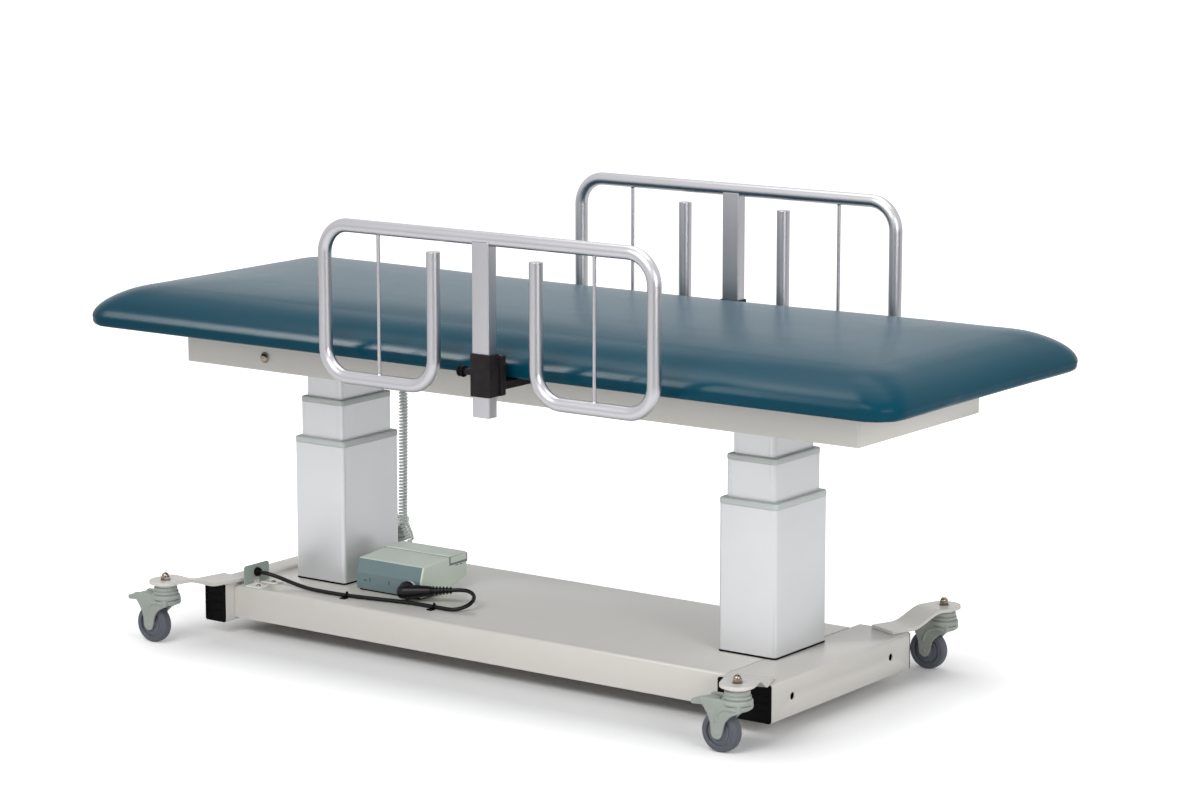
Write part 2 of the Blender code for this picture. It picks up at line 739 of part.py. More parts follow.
def make_column(side_name, x, silver, collar, body, steel):
    outer = (OUTER_LENGTH_X, OUTER_WIDTH_Y, OUTER_CORNER)
    middle = (MIDDLE_LENGTH_X, MIDDLE_WIDTH_Y, MIDDLE_CORNER)
    inner = (INNER_LENGTH_X, INNER_WIDTH_Y, INNER_CORNER)
    make_actuator(side_name, x, body, steel)
    make_profile(side_name + "_outer_profile", x, *outer, OUTER_BOTTOM, OUTER_TOP, silver)
    make_profile(side_name + "_middle_profile", x, *middle, MIDDLE_BOTTOM, MIDDLE_TOP, silver)
    make_profile(side_name + "_inner_profile", x, *inner, INNER_BOTTOM, INNER_TOP, silver)
    make_collar(side_name + "_outer_collar", x, outer, middle, OUTER_TOP + SEAT_GAP, OUTER_COLLAR_HEIGHT, collar)
    make_collar(side_name + "_middle_collar", x, middle, inner, MIDDLE_TOP + SEAT_GAP, MIDDLE_COLLAR_HEIGHT,
                collar)


# Skirt frame: a folded channel all round, with a plate across it over each column

def make_skirt(paint):
    section = [
        (0.0, SKIRT_BOTTOM),
        (0.0, SKIRT_TOP),
        (SKIRT_LIP, SKIRT_TOP),
        (SKIRT_LIP, SKIRT_TOP - SKIRT_SHEET),
        (SKIRT_SHEET, SKIRT_TOP - SKIRT_SHEET),
        (SKIRT_SHEET, SKIRT_BOTTOM + SKIRT_SHEET),
        (SKIRT_LIP, SKIRT_BOTTOM + SKIRT_SHEET),
        (SKIRT_LIP, SKIRT_BOTTOM),
    ]
    rings = []
    for inset, z in section:
        radius = max(SKIRT_CORNER - inset, SKIRT_CORNER / 4)
        outline = rounded_rect(SKIRT_LENGTH - 2 * inset, SKIRT_WIDTH - 2 * inset, radius)
        rings.append(at_height(outline, z))
    frame = place("skirt_frame", loft(rings, looped=True), paint, (SKIRT_MIDDLE_X, 0, 0))
    reach = SKIRT_WIDTH / 2 - SKIRT_SHEET / 2
    for column_x in column_places().values():
        x = column_x - SKIRT_MIDDLE_X
        low = (x - COLUMN_PLATE_LENGTH / 2, -reach, COLUMN_PLATE_BOTTOM)
        high = (x + COLUMN_PLATE_LENGTH / 2, reach, COLUMN_PLATE_BOTTOM + COLUMN_PLATE_SHEET)
        combine(frame, block(low, high), "UNION")


def column_places():
    return {
        "left": COLUMN_MIDDLE_X - COLUMN_SPACING / 2,
        "right": COLUMN_MIDDLE_X + COLUMN_SPACING / 2,
    }


# Padded top: crowned, with a full rounded edge and sides drawn in a little between the corners

def cushion_ring(inset, z):
    half_x = CUSHION_LENGTH / 2 - inset
    half_y = CUSHION_WIDTH / 2 - inset
    radius = max(CUSHION_CORNER - 0.10 * inset, CUSHION_CORNER / 3)
    points = rounded_rect(2 * half_x, 2 * half_y, radius, CUSHION_CORNER_STEPS)
    ring = []
    for i, (x, y) in enumerate(points):
        ring.append((x, y, z))
        if (i + 1) % (CUSHION_CORNER_STEPS + 1) == 0:
            next_x, next_y = points[(i + 1) % len(points)]
            for step in range(1, CUSHION_SIDE_STEPS):
                share = step / CUSHION_SIDE_STEPS
                draw = CUSHION_DRAW_IN * math.sin(math.pi * share) ** 2
                side_x = x + (next_x - x) * share
                side_y = y + (next_y - y) * share
                if abs(next_x - x) > abs(next_y - y):
                    side_y -= math.copysign(draw, side_y)
                else:
                    side_x -= math.copysign(draw, side_x)
                ring.append((side_x, side_y, z))
    return ring


def make_cushion(leather):
    low = SKIRT_TOP + SEAT_GAP
    rise = CUSHION_THICKNESS - CUSHION_BELLY
    rings = [
        cushion_ring(CUSHION_UNDERCUT, low),
        cushion_ring(0.25 * CUSHION_UNDERCUT, low + 0.35 * CUSHION_BELLY),
        cushion_ring(0.0, low + CUSHION_BELLY),
    ]
    for step in range(1, CUSHION_EDGE_STEPS + 1):
        angle = math.pi / 2 * step / CUSHION_EDGE_STEPS
        inset = CUSHION_EDGE_REACH * (1 - max(math.cos(angle), 0.0) ** CUSHION_EDGE_FLATTEN)
        rings.append(cushion_ring(inset, low + CUSHION_BELLY + rise * math.sin(angle) ** CUSHION_EDGE_FLATTEN))
    top = low + CUSHION_THICKNESS
    room = CUSHION_WIDTH / 2 - CUSHION_EDGE_REACH
    rings.append(cushion_ring(CUSHION_EDGE_REACH + 0.4 * room, top + 0.7 * CUSHION_CROWN))
    rings.append(cushion_ring(CUSHION_EDGE_REACH + 0.75 * room, top + CUSHION_CROWN))
    place("cushion", loft(rings), leather)


# Side rails: one bent tube, two thin rods and a post welded under the top bar

def make_rail(name, side, lift, silver):
    half = RAIL_LENGTH / 2
    upright = RAIL_UPRIGHT_SPACING / 2
    top = RAIL_TOP + lift
    bottom = top - RAIL_HEIGHT
    corners = [
        Vector((-upright, 0, top - RAIL_UPRIGHT_GAP)),
        Vector((-upright, 0, bottom)),
        Vector((-half, 0, bottom)),
        Vector((-half, 0, top)),
        Vector((half, 0, top)),
        Vector((half, 0, bottom)),
        Vector((upright, 0, bottom)),
        Vector((upright, 0, top - RAIL_UPRIGHT_GAP)),
    ]
    tube = swept(bent_path(corners, RAIL_BEND, RAIL_BEND_STEPS), RAIL_TUBE_RADIUS, RAIL_TUBE_SIDES)
    rail = place(name, tube, silver, (RAIL_X, side * RAIL_PLANE, 0))
    for way in (-1, 1):
        x = way * (half + upright) / 2
        rod = turned([(0, bottom), (RAIL_ROD_RADIUS, bottom), (RAIL_ROD_RADIUS, top), (0, top)], 6)
        combine(rail, moved(rod, x), "UNION")
    post_low = SOCKET_BOTTOM - POST_TAIL + lift
    outer = rounded_rect(POST_LENGTH_X, POST_WIDTH_Y, POST_CORNER, 2)
    inner = rounded_rect(POST_LENGTH_X - 2 * POST_WALL, POST_WIDTH_Y - 2 * POST_WALL, POST_CORNER / 4, 2)
    depth = top - RAIL_TUBE_RADIUS - POST_WALL
    rings = [at_height(inner, depth), at_height(inner, post_low), at_height(outer, post_low),
             at_height(outer, top)]
    combine(rail, loft(rings), "UNION")


def make_socket(name, side, black):
    """Sleeve round the post, a block behind it, an arm back to the skirt and a barrel for the plunger."""
    outer = rounded_rect(SOCKET_LENGTH_X, SOCKET_WIDTH_Y, SOCKET_CORNER, 2)
    inner = rounded_rect(POST_LENGTH_X + 2 * SLIDE_GAP, POST_WIDTH_Y + 2 * SLIDE_GAP, POST_CORNER, 2)
    socket = place(name, pipe(outer, inner, SOCKET_BOTTOM, SOCKET_TOP), black, (RAIL_X, side * RAIL_PLANE, 0))
    sunk = SOCKET_WALL / 2
    near = SOCKET_WIDTH_Y / 2 - sunk
    far = SOCKET_WIDTH_Y / 2 + BACK_BLOCK_DEPTH
    half = SOCKET_LENGTH_X / 2 + BACK_BLOCK_EXTRA
    behind = block((-half, near, SOCKET_BOTTOM), (half, far, SOCKET_TOP - BACK_BLOCK_EXTRA))
    skirt_face = RAIL_PLANE - SKIRT_WIDTH / 2 - SEAT_GAP
    bar = block((-ARM_BAR_WIDTH / 2, far - sunk, ARM_BAR_TOP - ARM_BAR_HEIGHT),
                (ARM_BAR_WIDTH / 2, skirt_face, ARM_BAR_TOP))
    for piece in (behind, bar):
        if side > 0:
            spun(piece, 180, "Z")
        combine(socket, piece, "UNION")
    wall = SOCKET_LENGTH_X / 2
    barrel = turned([(0, wall - sunk), (BARREL_RADIUS, wall - sunk), (BARREL_RADIUS, wall + BARREL_LENGTH),
                     (0, wall + BARREL_LENGTH)], 12)
    combine(socket, moved(spun(barrel, -90, "Y"), z=SOCKET_BOTTOM + BARREL_HEIGHT), "UNION")
    bore = PIN_RADIUS + SLIDE_GAP
    start = POST_LENGTH_X / 2 - POST_WALL
    end = wall + 2 * BARREL_LENGTH
    drill = turned([(0, start), (bore, start), (bore, end), (0, end)], 10)
    combine(socket, moved(spun(drill, -90, "Y"), z=SOCKET_BOTTOM + BARREL_HEIGHT), "DIFFERENCE")


def make_plunger(name, side, black):
    nose = POST_LENGTH_X / 2 + SEAT_GAP
    face = SOCKET_LENGTH_X / 2 + BARREL_LENGTH + SEAT_GAP
    profile = [
        (0, nose),
        (PIN_RADIUS, nose),
        (PIN_RADIUS, face),
        (0.80 * KNOB_RADIUS, face),
        (KNOB_RADIUS, face + 0.25 * KNOB_LENGTH),
        (0.85 * KNOB_RADIUS, face + 0.50 * KNOB_LENGTH),
        (KNOB_RADIUS, face + 0.75 * KNOB_LENGTH),
        (0.60 * KNOB_RADIUS, face + KNOB_LENGTH),
        (0, face + KNOB_LENGTH),
    ]
    plunger = spun(turned(profile, 10), -90, "Y")
    place(name, plunger, black, (RAIL_X, side * RAIL_PLANE, SOCKET_BOTTOM + BARREL_HEIGHT))


# Control box, lead, bracket and gland

def make_control_box(plastic):
    low = PAN_TOP + SEAT_GAP
    shoulder = low + BOX_SHOULDER_HEIGHT
    rear = low + BOX_REAR_HEIGHT
    lid_front = shoulder + (rear - shoulder) * BOX_LID_Y / BOX_DEPTH
    outline = [
        (0.0, low),
        (0.0, low + BOX_FRONT_HEIGHT),
        (BOX_SHOULDER_BACK, shoulder),
        (BOX_LID_Y, lid_front),
        (BOX_LID_Y, lid_front + BOX_LID_STEP),
        (BOX_DEPTH, rear),
        (BOX_DEPTH, low + BOX_UNDERCUT),
        (BOX_DEPTH - BOX_UNDERCUT_DEPTH, low),
    ]
    rings = []
    for share, draw in ((0.0, BOX_EDGE), (BOX_EDGE / BOX_LENGTH, 0.0), (1 - BOX_EDGE / BOX_LENGTH, 0.0),
                        (1.0, BOX_EDGE)):
        ring = []
        for y, z in outline:
            pulled_y = min(max(y, draw), BOX_DEPTH - draw)
            pulled_z = min(z, max(shoulder, z - draw))
            ring.append((BOX_LENGTH * share, pulled_y, pulled_z))
        rings.append(ring)
    box = place("control_box", loft(rings), plastic, (BOX_LEFT_X, BOX_FRONT_Y, 0))
    sunk = BOX_EDGE
    inlet = turned([(0, -sunk), (INLET_RADIUS, -sunk), (INLET_RADIUS, INLET_DEPTH), (0, INLET_DEPTH)], 14)
    combine(box, moved(spun(inlet, 90, "X"), INLET_X - BOX_LEFT_X, 0, INLET_Z), "UNION")
    boss = turned([(0, -sunk), (CORD_SOCKET_RADIUS, -sunk), (CORD_SOCKET_RADIUS, CORD_SOCKET_LENGTH),
                   (0, CORD_SOCKET_LENGTH)], 10)
    place_x = CORD_SOCKET_X - BOX_LEFT_X
    combine(box, moved(spun(boss, -90, "X"), place_x, BOX_DEPTH, low + CORD_SOCKET_HEIGHT), "UNION")


def plug_tail_start():
    return Vector((INLET_X, PLUG_Y - PLUG_TAIL_SET_OUT, INLET_Z))


def plug_tail_end():
    return plug_tail_start() + Vector(PLUG_TAIL_VECTOR)


def make_lead_plug(black):
    """Right-angle plug: a round head on the inlet and a tail that tapers in steps to the lead."""
    head = turned([(0, 0), (PLUG_HEAD_RADIUS, 0), (PLUG_HEAD_RADIUS, PLUG_HEAD_DEPTH),
                   (PLUG_NECK_RADIUS, PLUG_HEAD_DEPTH + 0.002), (PLUG_NECK_RADIUS, PLUG_NECK_DEPTH - 0.003),
                   (0.75 * PLUG_NECK_RADIUS, PLUG_NECK_DEPTH), (0, PLUG_NECK_DEPTH)], 16)
    plug = place("lead_plug", spun(head, 90, "X"), black, (INLET_X, PLUG_Y, INLET_Z))
    length = Vector(PLUG_TAIL_VECTOR).length
    slim = LEAD_RADIUS + 0.0015
    profile = [(0, 0), (PLUG_TAIL_RADIUS, 0), (PLUG_TAIL_RADIUS, 0.45 * length),
               (0.8 * PLUG_TAIL_RADIUS, 0.62 * length)]
    for rib in range(3):
        start = (0.66 + 0.11 * rib) * length
        profile += [(slim, start), (slim + 0.0016 - 0.0004 * rib, start + 0.02 * length),
                    (slim + 0.0016 - 0.0004 * rib, start + 0.06 * length), (slim, start + 0.08 * length)]
    profile += [(slim, length), (0, length)]
    tail = turned(profile, 12)
    heading = Vector(PLUG_TAIL_VECTOR).to_track_quat("Z", "Y").to_matrix().to_4x4()
    bmesh.ops.transform(tail, matrix=heading, verts=tail.verts)
    offset = plug_tail_start() - plug.location
    combine(plug, moved(tail, *offset), "UNION")


def make_tube_cord(name, route, radius, resolution, material):
    curve = bpy.data.curves.new(name, "CURVE")
    curve.dimensions = "3D"
    curve.bevel_depth = radius
    curve.bevel_resolution = resolution
    curve.use_fill_caps = True
    spline = curve.splines.new("POLY")
    spline.points.add(len(route) - 1)
    for point, spot in zip(spline.points, route):
        point.co = (*spot, 1.0)
    curve.materials.append(material)
    obj = bpy.data.objects.new(name, curve)
    bpy.context.scene.collection.objects.link(obj)


def make_power_lead(black):
    along = Vector(PLUG_TAIL_VECTOR).normalized()
    start = plug_tail_end() + along * SEAT_GAP
    gland_mouth = Vector((BRACKET_X + BRACKET_SHEET + SEAT_GAP + GLAND_HEAD_LENGTH + SEAT_GAP, BRACKET_Y, GLAND_Z))
    run = PAN_TOP + SEAT_GAP + LEAD_RADIUS
    route = [
        start,
        start + along * 0.010,
        (-0.180, -0.080, 0.1265),
        (-0.160, -0.080, 0.1200),
        (-0.146, -0.092, 0.1110),
        (-0.144, -0.111, 0.1050),
        (-0.156, BRACKET_Y + 0.048, run),
        (-0.178, BRACKET_Y + 0.041, run),
        (-0.212, BRACKET_Y + 0.038, run),
        (-0.260, BRACKET_Y + 0.035, run),
        (-0.311, BRACKET_Y + 0.027, run),
        (-0.362, BRACKET_Y + 0.017, run),
        (-0.410, BRACKET_Y + 0.010, run),
        (-0.460, BRACKET_Y + 0.008, run),
        (-0.508, BRACKET_Y + 0.009, run + 0.001),
        (-0.548, BRACKET_Y + 0.010, run + 0.006),
        (-0.582, BRACKET_Y + 0.007, run + 0.0135),
        gland_mouth + Vector((0.012, 0, 0)),
        gland_mouth,
    ]
    make_tube_cord("power_lead", smooth_route(route, 0.013), LEAD_RADIUS, 2, black)


def make_bracket(grey):
    low = PAN_TOP + SEAT_GAP
    half = BRACKET_WIDTH / 2
    bracket = place("lead_bracket", block((0, -half, low), (BRACKET_SHEET, half, low + BRACKET_HEIGHT)), grey,
                    (BRACKET_X, BRACKET_Y, 0))
    inner = half - BRACKET_FOOT_WIDTH
    for side in (-1, 1):
        y_edges = sorted((side * half, side * inner))
        foot = block((BRACKET_SHEET / 2, y_edges[0], low), (BRACKET_FOOT_LENGTH, y_edges[1], low + BRACKET_SHEET))
        combine(bracket, foot, "UNION")
    notch = block((-BRACKET_SHEET, -inner, low - BRACKET_SHEET), (2 * BRACKET_SHEET, inner, low + BRACKET_NOTCH_HEIGHT))
    combine(bracket, notch, "DIFFERENCE")
    radius = GLAND_NECK_RADIUS + SEAT_GAP
    hole = turned([(0, -BRACKET_SHEET), (radius, -BRACKET_SHEET), (radius, 2 * BRACKET_SHEET),
                   (0, 2 * BRACKET_SHEET)], GLAND_SIDES)
    combine(bracket, moved(spun(hole, 90, "Y"), z=GLAND_Z), "DIFFERENCE")


def make_gland(black):
    back = -SEAT_GAP
    front = BRACKET_SHEET + SEAT_GAP
    profile = [
        (0, back - GLAND_NUT_LENGTH),
        (0.9 * GLAND_HEAD_RADIUS, back - GLAND_NUT_LENGTH),
        (0.9 * GLAND_HEAD_RADIUS, back),
        (GLAND_NECK_RADIUS, back),
        (GLAND_NECK_RADIUS, front),
        (GLAND_HEAD_RADIUS, front),
        (GLAND_HEAD_RADIUS, front + 0.55 * GLAND_HEAD_LENGTH),
        (LEAD_RADIUS + 0.0012, front + GLAND_HEAD_LENGTH),
        (0, front + GLAND_HEAD_LENGTH),
    ]
    place("lead_gland", spun(turned(profile, GLAND_SIDES), 90, "Y"), black, (BRACKET_X, BRACKET_Y, GLAND_Z))


# Hand control on the far side of the skirt, and its curly cord

def make_handset(plastic, cap):
    bottom = HANDSET_TOP - HANDSET_LENGTH
    stations = [
        (bottom, 0.80, 0.86),
        (bottom + 0.08 * HANDSET_LENGTH, 0.90, 0.97),
        (bottom + 0.50 * HANDSET_LENGTH, 0.94, 1.00),
        (HANDSET_TOP - 0.06 * HANDSET_LENGTH, 1.00, 1.00),
        (HANDSET_TOP, 0.90, 0.88),
    ]
    rings = []
    for z, wide, deep in stations:
        depth = HANDSET_DEPTH * deep
        outline = rounded_rect(HANDSET_WIDTH * wide, depth, HANDSET_CORNER * deep)
        rings.append([(x, y - (HANDSET_DEPTH - depth) / 2, z) for x, y in outline])
    handset = place("hand_control", loft(rings), plastic, (HANDSET_X, HANDSET_Y, 0))
    boss_low = bottom - HANDSET_BOSS_LENGTH
    boss = turned([(0, boss_low), (0.8 * HANDSET_BOSS_RADIUS, boss_low), (HANDSET_BOSS_RADIUS, bottom + 0.003),
                   (0, bottom + 0.003)], 10)
    combine(handset, boss, "UNION")
    face = HANDSET_DEPTH / 2
    floor = face - BUTTON_TRAVEL - BUTTON_SKIRT - 2 * SEAT_GAP
    hole = BUTTON_RADIUS + SLIDE_GAP
    middle = HANDSET_TOP - 0.40 * HANDSET_LENGTH
    places = {"up_button": middle + BUTTON_SPACING / 2, "down_button": middle - BUTTON_SPACING / 2}
    for name, z in places.items():
        pocket = turned([(0, floor), (hole, floor), (hole, 2 * face), (0, 2 * face)], 14)
        combine(handset, moved(spun(pocket, -90, "X"), z=z), "DIFFERENCE")
        low = floor + BUTTON_TRAVEL + SEAT_GAP
        button = turned([(0, low), (BUTTON_RADIUS, low), (BUTTON_RADIUS, face + 0.5 * BUTTON_STAND),
                         (0.8 * BUTTON_RADIUS, face + BUTTON_STAND), (0, face + BUTTON_STAND)], 14)
        place(name, spun(button, -90, "X"), cap, (HANDSET_X, HANDSET_Y, z))


def make_curly_cord(grey):
    """One unbroken helix hung from the hand control, with a plain tail to the control box."""
    head = Vector((HANDSET_X, HANDSET_Y, HANDSET_TOP - HANDSET_LENGTH - HANDSET_BOSS_LENGTH - SEAT_GAP))
    socket_y = BOX_FRONT_Y + BOX_DEPTH + CORD_SOCKET_LENGTH + SEAT_GAP
    foot = Vector((CORD_SOCKET_X, socket_y, PAN_TOP + SEAT_GAP + CORD_SOCKET_HEIGHT))
    spine = smooth_route([head + Vector((0, 0, -0.014)), (-0.573, 0.222, 0.420), (-0.556, 0.199, 0.330),
                          (-0.537, 0.174, 0.250), (-0.522, 0.155, 0.188)], 0.004)
    route = [head, head + Vector((0, 0, -0.007))]
    turns = CURL_COUNT * CURL_POINTS
    for i in range(turns + 1):
        share = i / turns
        where = share * (len(spine) - 1)
        k = min(int(where), len(spine) - 2)
        centre = spine[k].lerp(spine[k + 1], where - k)
        ahead = (spine[k + 1] - spine[k]).normalized()
        across = ahead.cross(Vector((0, 1, 0))).normalized()
        beside = across.cross(ahead)
        open_share = min(1.0, 8 * share + 0.1, 8 * (1 - share) + 0.1)
        angle = 2 * math.pi * i / CURL_POINTS
        offset = across * math.cos(angle) + beside * math.sin(angle)
        route.append(centre + offset * CURL_RADIUS * open_share)
    tail = smooth_route([route[-1], (-0.505, 0.150, 0.172), (-0.496, 0.146, 0.150), (-0.478, 0.134, 0.126),
                         (-0.448, 0.118, 0.113), (-0.412, 0.104, 0.118), (-0.390, 0.086, 0.138),
                         foot + Vector((0, 0.007, 0)), foot], 0.008)
    route += tail[1:]
    print("curly cord, least gap to itself in mm:", round(1000 * least_gap(route, CURLY_CORD_RADIUS), 2))
    make_tube_cord("curly_cord", route, CURLY_CORD_RADIUS, 1, grey)


def least_gap(route, radius):
    """Smallest clear distance between stretches of the tube that are not neighbours along it."""
    apart = CURL_POINTS // 2
    least = math.inf
    for i, p in enumerate(route):
        for q in route[i + apart:i + 3 * CURL_POINTS]:
            least = min(least, (q - p).length)
    return least - 2 * radius


def main():
    clear_scene()
    paint = finish("warm grey paint", (0.58, 0.56, 0.52), 0.35)
    silver = finish("silver anodised profile", (0.66, 0.66, 0.68), 0.35, 0.9)
    rail_silver = finish("silver rail tube", (0.48, 0.47, 0.49), 0.35, 0.9)
    chrome = finish("chrome", (0.80, 0.78, 0.75), 0.12, 1.0)
    leather = finish("teal upholstery", (0.012, 0.090, 0.150), 0.35)
    black = finish("black plastic", (0.010, 0.010, 0.011), 0.45)
    socket_black = finish("black coated steel", (0.016, 0.014, 0.015), 0.5)
    caster_grey = finish("grey green plastic", (0.37, 0.43, 0.39), 0.45)
    rubber = finish("dark grey tread", (0.10, 0.10, 0.12), 0.55)
    collar_grey = finish("pale collar plastic", (0.50, 0.55, 0.50), 0.45)
    box_grey = finish("control box plastic", (0.50, 0.57, 0.49), 0.45)
    bracket_grey = finish("bracket paint", (0.22, 0.28, 0.24), 0.5)
    cord_grey = finish("curly cord sheath", (0.16, 0.26, 0.21), 0.45)
    steel = finish("bare steel", (0.45, 0.45, 0.46), 0.3, 1.0)

    make_base_pan(paint)
    tubes = {
        "left": (LEFT_TUBE_X, LEFT_TUBE_WIDTH, LEFT_TUBE_TOP),
        "right": (RIGHT_TUBE_X, RIGHT_TUBE_WIDTH, PAN_TOP),
    }
    arms = {
        "left": (LEFT_CASTER_X, LEFT_ARM_SPLAY, LEFT_ARM_REACH),
        "right": (RIGHT_CASTER_X, RIGHT_ARM_SPLAY, RIGHT_ARM_REACH),
    }
    fork = fork_mesh(caster_grey)
    wheel = wheel_mesh(rubber)
    pedal = pedal_mesh(caster_grey)
    for end, (tube_x, width, top) in tubes.items():
        tube = make_cross_tube(end + "_cross_tube", tube_x, width, top, paint)
        if end == "right":
            cut_end_holes(tube)
        x, splay, reach = arms[end]
        for row, side in (("near", -1), ("far", 1)):
            corner = row + "_" + end
            y = side * CASTER_Y
            make_end_plug(corner + "_tube_plug", tube_x, width, top, side, black)
            make_caster_arm(corner + "_caster_arm", x, side, splay, reach, top, paint)
            make_dome_nut(corner + "_dome_nut", x, side, chrome)
            place_mesh(corner + "_fork", fork, (x, y, 0))
            place_mesh(corner + "_wheel", wheel, (x - WHEEL_TRAIL, y, WHEEL_RADIUS))
            place_mesh(corner + "_brake_pedal", pedal, (x - PEDAL_PIVOT_BACK, y, FORK_TOP - PEDAL_PIVOT_DROP))

    for side_name, x in column_places().items():
        make_column(side_name, x, silver, collar_grey, black, steel)
    make_skirt(paint)
    make_cushion(leather)
    for row, side, lift in (("near", -1, 0.0), ("far", 1, FAR_RAIL_LIFT)):
        make_rail(row + "_side_rail", side, lift, rail_silver)
        make_socket(row + "_rail_socket", side, socket_black)
        make_plunger(row + "_plunger", side, black)

    make_control_box(box_grey)
    make_lead_plug(black)
    make_power_lead(black)
    make_bracket(bracket_grey)
    make_gland(black)
    make_handset(box_grey, collar_grey)
    make_curly_cord(cord_grey)


main()
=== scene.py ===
# Looks of the ultrasound table: finishes, padded top, smooth tubes, casters, cords and small fittings.
# Metres, in the part's own frame: the origin is on the floor under the top, +X along it, -Y near.

import math

import bmesh
import bpy
import numpy
from mathutils import Matrix, Vector, noise


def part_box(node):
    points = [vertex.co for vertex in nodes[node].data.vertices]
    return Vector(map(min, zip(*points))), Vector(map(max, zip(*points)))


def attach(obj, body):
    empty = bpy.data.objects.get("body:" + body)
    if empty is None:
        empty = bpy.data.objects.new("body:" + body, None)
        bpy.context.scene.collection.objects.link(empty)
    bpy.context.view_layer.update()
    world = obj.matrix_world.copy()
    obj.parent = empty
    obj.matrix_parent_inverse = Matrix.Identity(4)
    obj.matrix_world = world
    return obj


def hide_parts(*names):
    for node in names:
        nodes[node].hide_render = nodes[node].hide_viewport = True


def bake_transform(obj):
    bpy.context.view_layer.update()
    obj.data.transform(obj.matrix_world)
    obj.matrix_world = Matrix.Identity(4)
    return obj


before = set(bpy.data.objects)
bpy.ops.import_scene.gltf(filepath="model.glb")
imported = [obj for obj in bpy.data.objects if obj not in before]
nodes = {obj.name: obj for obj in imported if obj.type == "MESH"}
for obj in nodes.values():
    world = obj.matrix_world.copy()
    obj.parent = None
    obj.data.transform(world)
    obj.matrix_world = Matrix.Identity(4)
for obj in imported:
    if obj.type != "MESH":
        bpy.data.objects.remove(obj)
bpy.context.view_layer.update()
scene = bpy.context.scene

CORNERS = ("near_left", "near_right", "far_left", "far_right")
SIDES = (("near", -1), ("far", 1))
ENDS = ("left", "right")
SEAT_GAP = 0.0003
ALONG = (1, 0, 0)
FRONT = (0, -1, 0)
BACK = (0, 1, 0)
UP = (0, 0, 1)

# Camera, at the photograph's angle
CAMERA_PLACE = Vector((3.878, -5.270, 1.692))
CAMERA_AIM = Vector((-0.57482, 0.79874, -0.17775))
CAMERA_LENS = 104.5

# Padded top
TOP_LOW, TOP_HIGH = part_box("cushion")
CUSHION_HALF_WIDTH = (TOP_HIGH.y - TOP_LOW.y) / 2
CUSHION_CORNER = 0.062
CUSHION_RIGHT_EXTRA = 0.008
CUSHION_EDGE_REACH = 0.074
CUSHION_EDGE_FLATTEN = 1.18
CUSHION_UNDERCUT = 0.005
CUSHION_BELLY = 0.018
CUSHION_RIM_DROP = 0.0035
CROWN_START = 0.045
CROWN_SLOPE = 0.12
CUSHION_DRAW_IN = 0.003
CUSHION_VOXEL = 0.008
CUSHION_SWELL = 0.005
SWELL_ROUNDS = 40
BOARD_LINE_HEIGHT = 0.0135
BOARD_LINE_DEPTH = 0.0014

# Lift columns
OUTER_CORNER = 0.008
MIDDLE_CORNER = 0.007
INNER_CORNER = 0.006
PROFILE_WALL = 0.004
GROOVE_FROM_CORNER = 0.004
GROOVE_WIDTH = 0.0016
GROOVE_DEPTH = 0.0005

# Side rails
RAIL_X = 0.120
RAIL_PLANE = 0.402
RAIL_TUBE_RADIUS = 0.0127
RAIL_HALF_LENGTH = 0.370
RAIL_HEIGHT = 0.283
RAIL_UPRIGHT = 0.1155
RAIL_BEND = 0.055
RAIL_UPRIGHT_GAP = 0.033
RAIL_ROD_RADIUS = 0.0034
POST_SIZE = (0.0381, 0.0254)
POST_WALL = 0.0025
POST_CORNER = 0.0030

# Rail sockets
SOCKET_CORNER = 0.004
SOCKET_WALL = 0.0027
SOCKET_BLOCK_EXTRA = 0.004
SOCKET_BLOCK_DEPTH = 0.013
SOCKET_BAR_WIDTH = 0.040
SOCKET_BAR_TOP = 0.6119
SOCKET_BAR_THICKNESS = 0.014
SOCKET_BARREL_RADIUS = 0.006
SOCKET_BARREL_LENGTH = 0.020
SOCKET_BARREL_Z = 0.6297
SOCKET_SCREW_INSET = 0.0250
SOCKET_SCREW_RADIUS = 0.0034

# Casters
CASTER_X = {"left": -0.7095, "right": 0.6365}
CASTER_Y = 0.356
WHEEL_RADIUS = 0.0375
WHEEL_WIDTH = 0.0235
WHEEL_TRAIL = 0.032
ARM_TOP = 0.129
ARM_THICKNESS = 0.006
ARM_WIDTH = 0.064
FORK_TOP = 0.1226
CHEEK_INSIDE = 0.01375
PEDAL_PIVOT = Vector((-0.050, 0.0, 0.0896))

# Control box, lead and curly cord
PAN_TOP = 0.098
BOX_X = (-0.437, -0.272)
BOX_Y = (-0.100, 0.047)
BOX_BASE = 0.0983
BOX_FRONT_HEIGHT = 0.036
BOX_SHOULDER = 0.064
BOX_LID_Y = -0.010
BOX_REAR_HEIGHT = 0.073
INLET = Vector((-0.300, -0.100, 0.1168))
PLUG_Y = -0.1048
PLUG_TAIL = Vector((0.095, 0.038, 0.009))
PLUG_TAIL_START = Vector((INLET.x, PLUG_Y - 0.021, INLET.z))
PLUG_HEADING = PLUG_TAIL.normalized()
LEAD_RADIUS = 0.004
LEAD_LOOP = Vector((-0.1736, -0.1082, 0.1274))
LEAD_LOOP_RADIUS = 0.030
LEAD_LOOP_FROM = 110.4
LEAD_LOOP_TURN = 200.0
BRACKET_X = -0.634
BRACKET_Y = -0.174
BRACKET_SCREW_RADIUS = 0.0046
TIE_MOUNTS_X = (-0.212, -0.400)
CURLY_RADIUS = 0.0025
CURLY_TURN = 0.0072
CURLY_TURNS = 54
CURLY_TURN_STEPS = 16
CURLY_EASE = 0.05
CURLY_FOOT = Vector((-0.385, 0.047, 0.1463))


# Mesh helpers

def soft_step(share):
    """Zero to one, with an easy start and end."""
    return share * share * (3 - 2 * share)


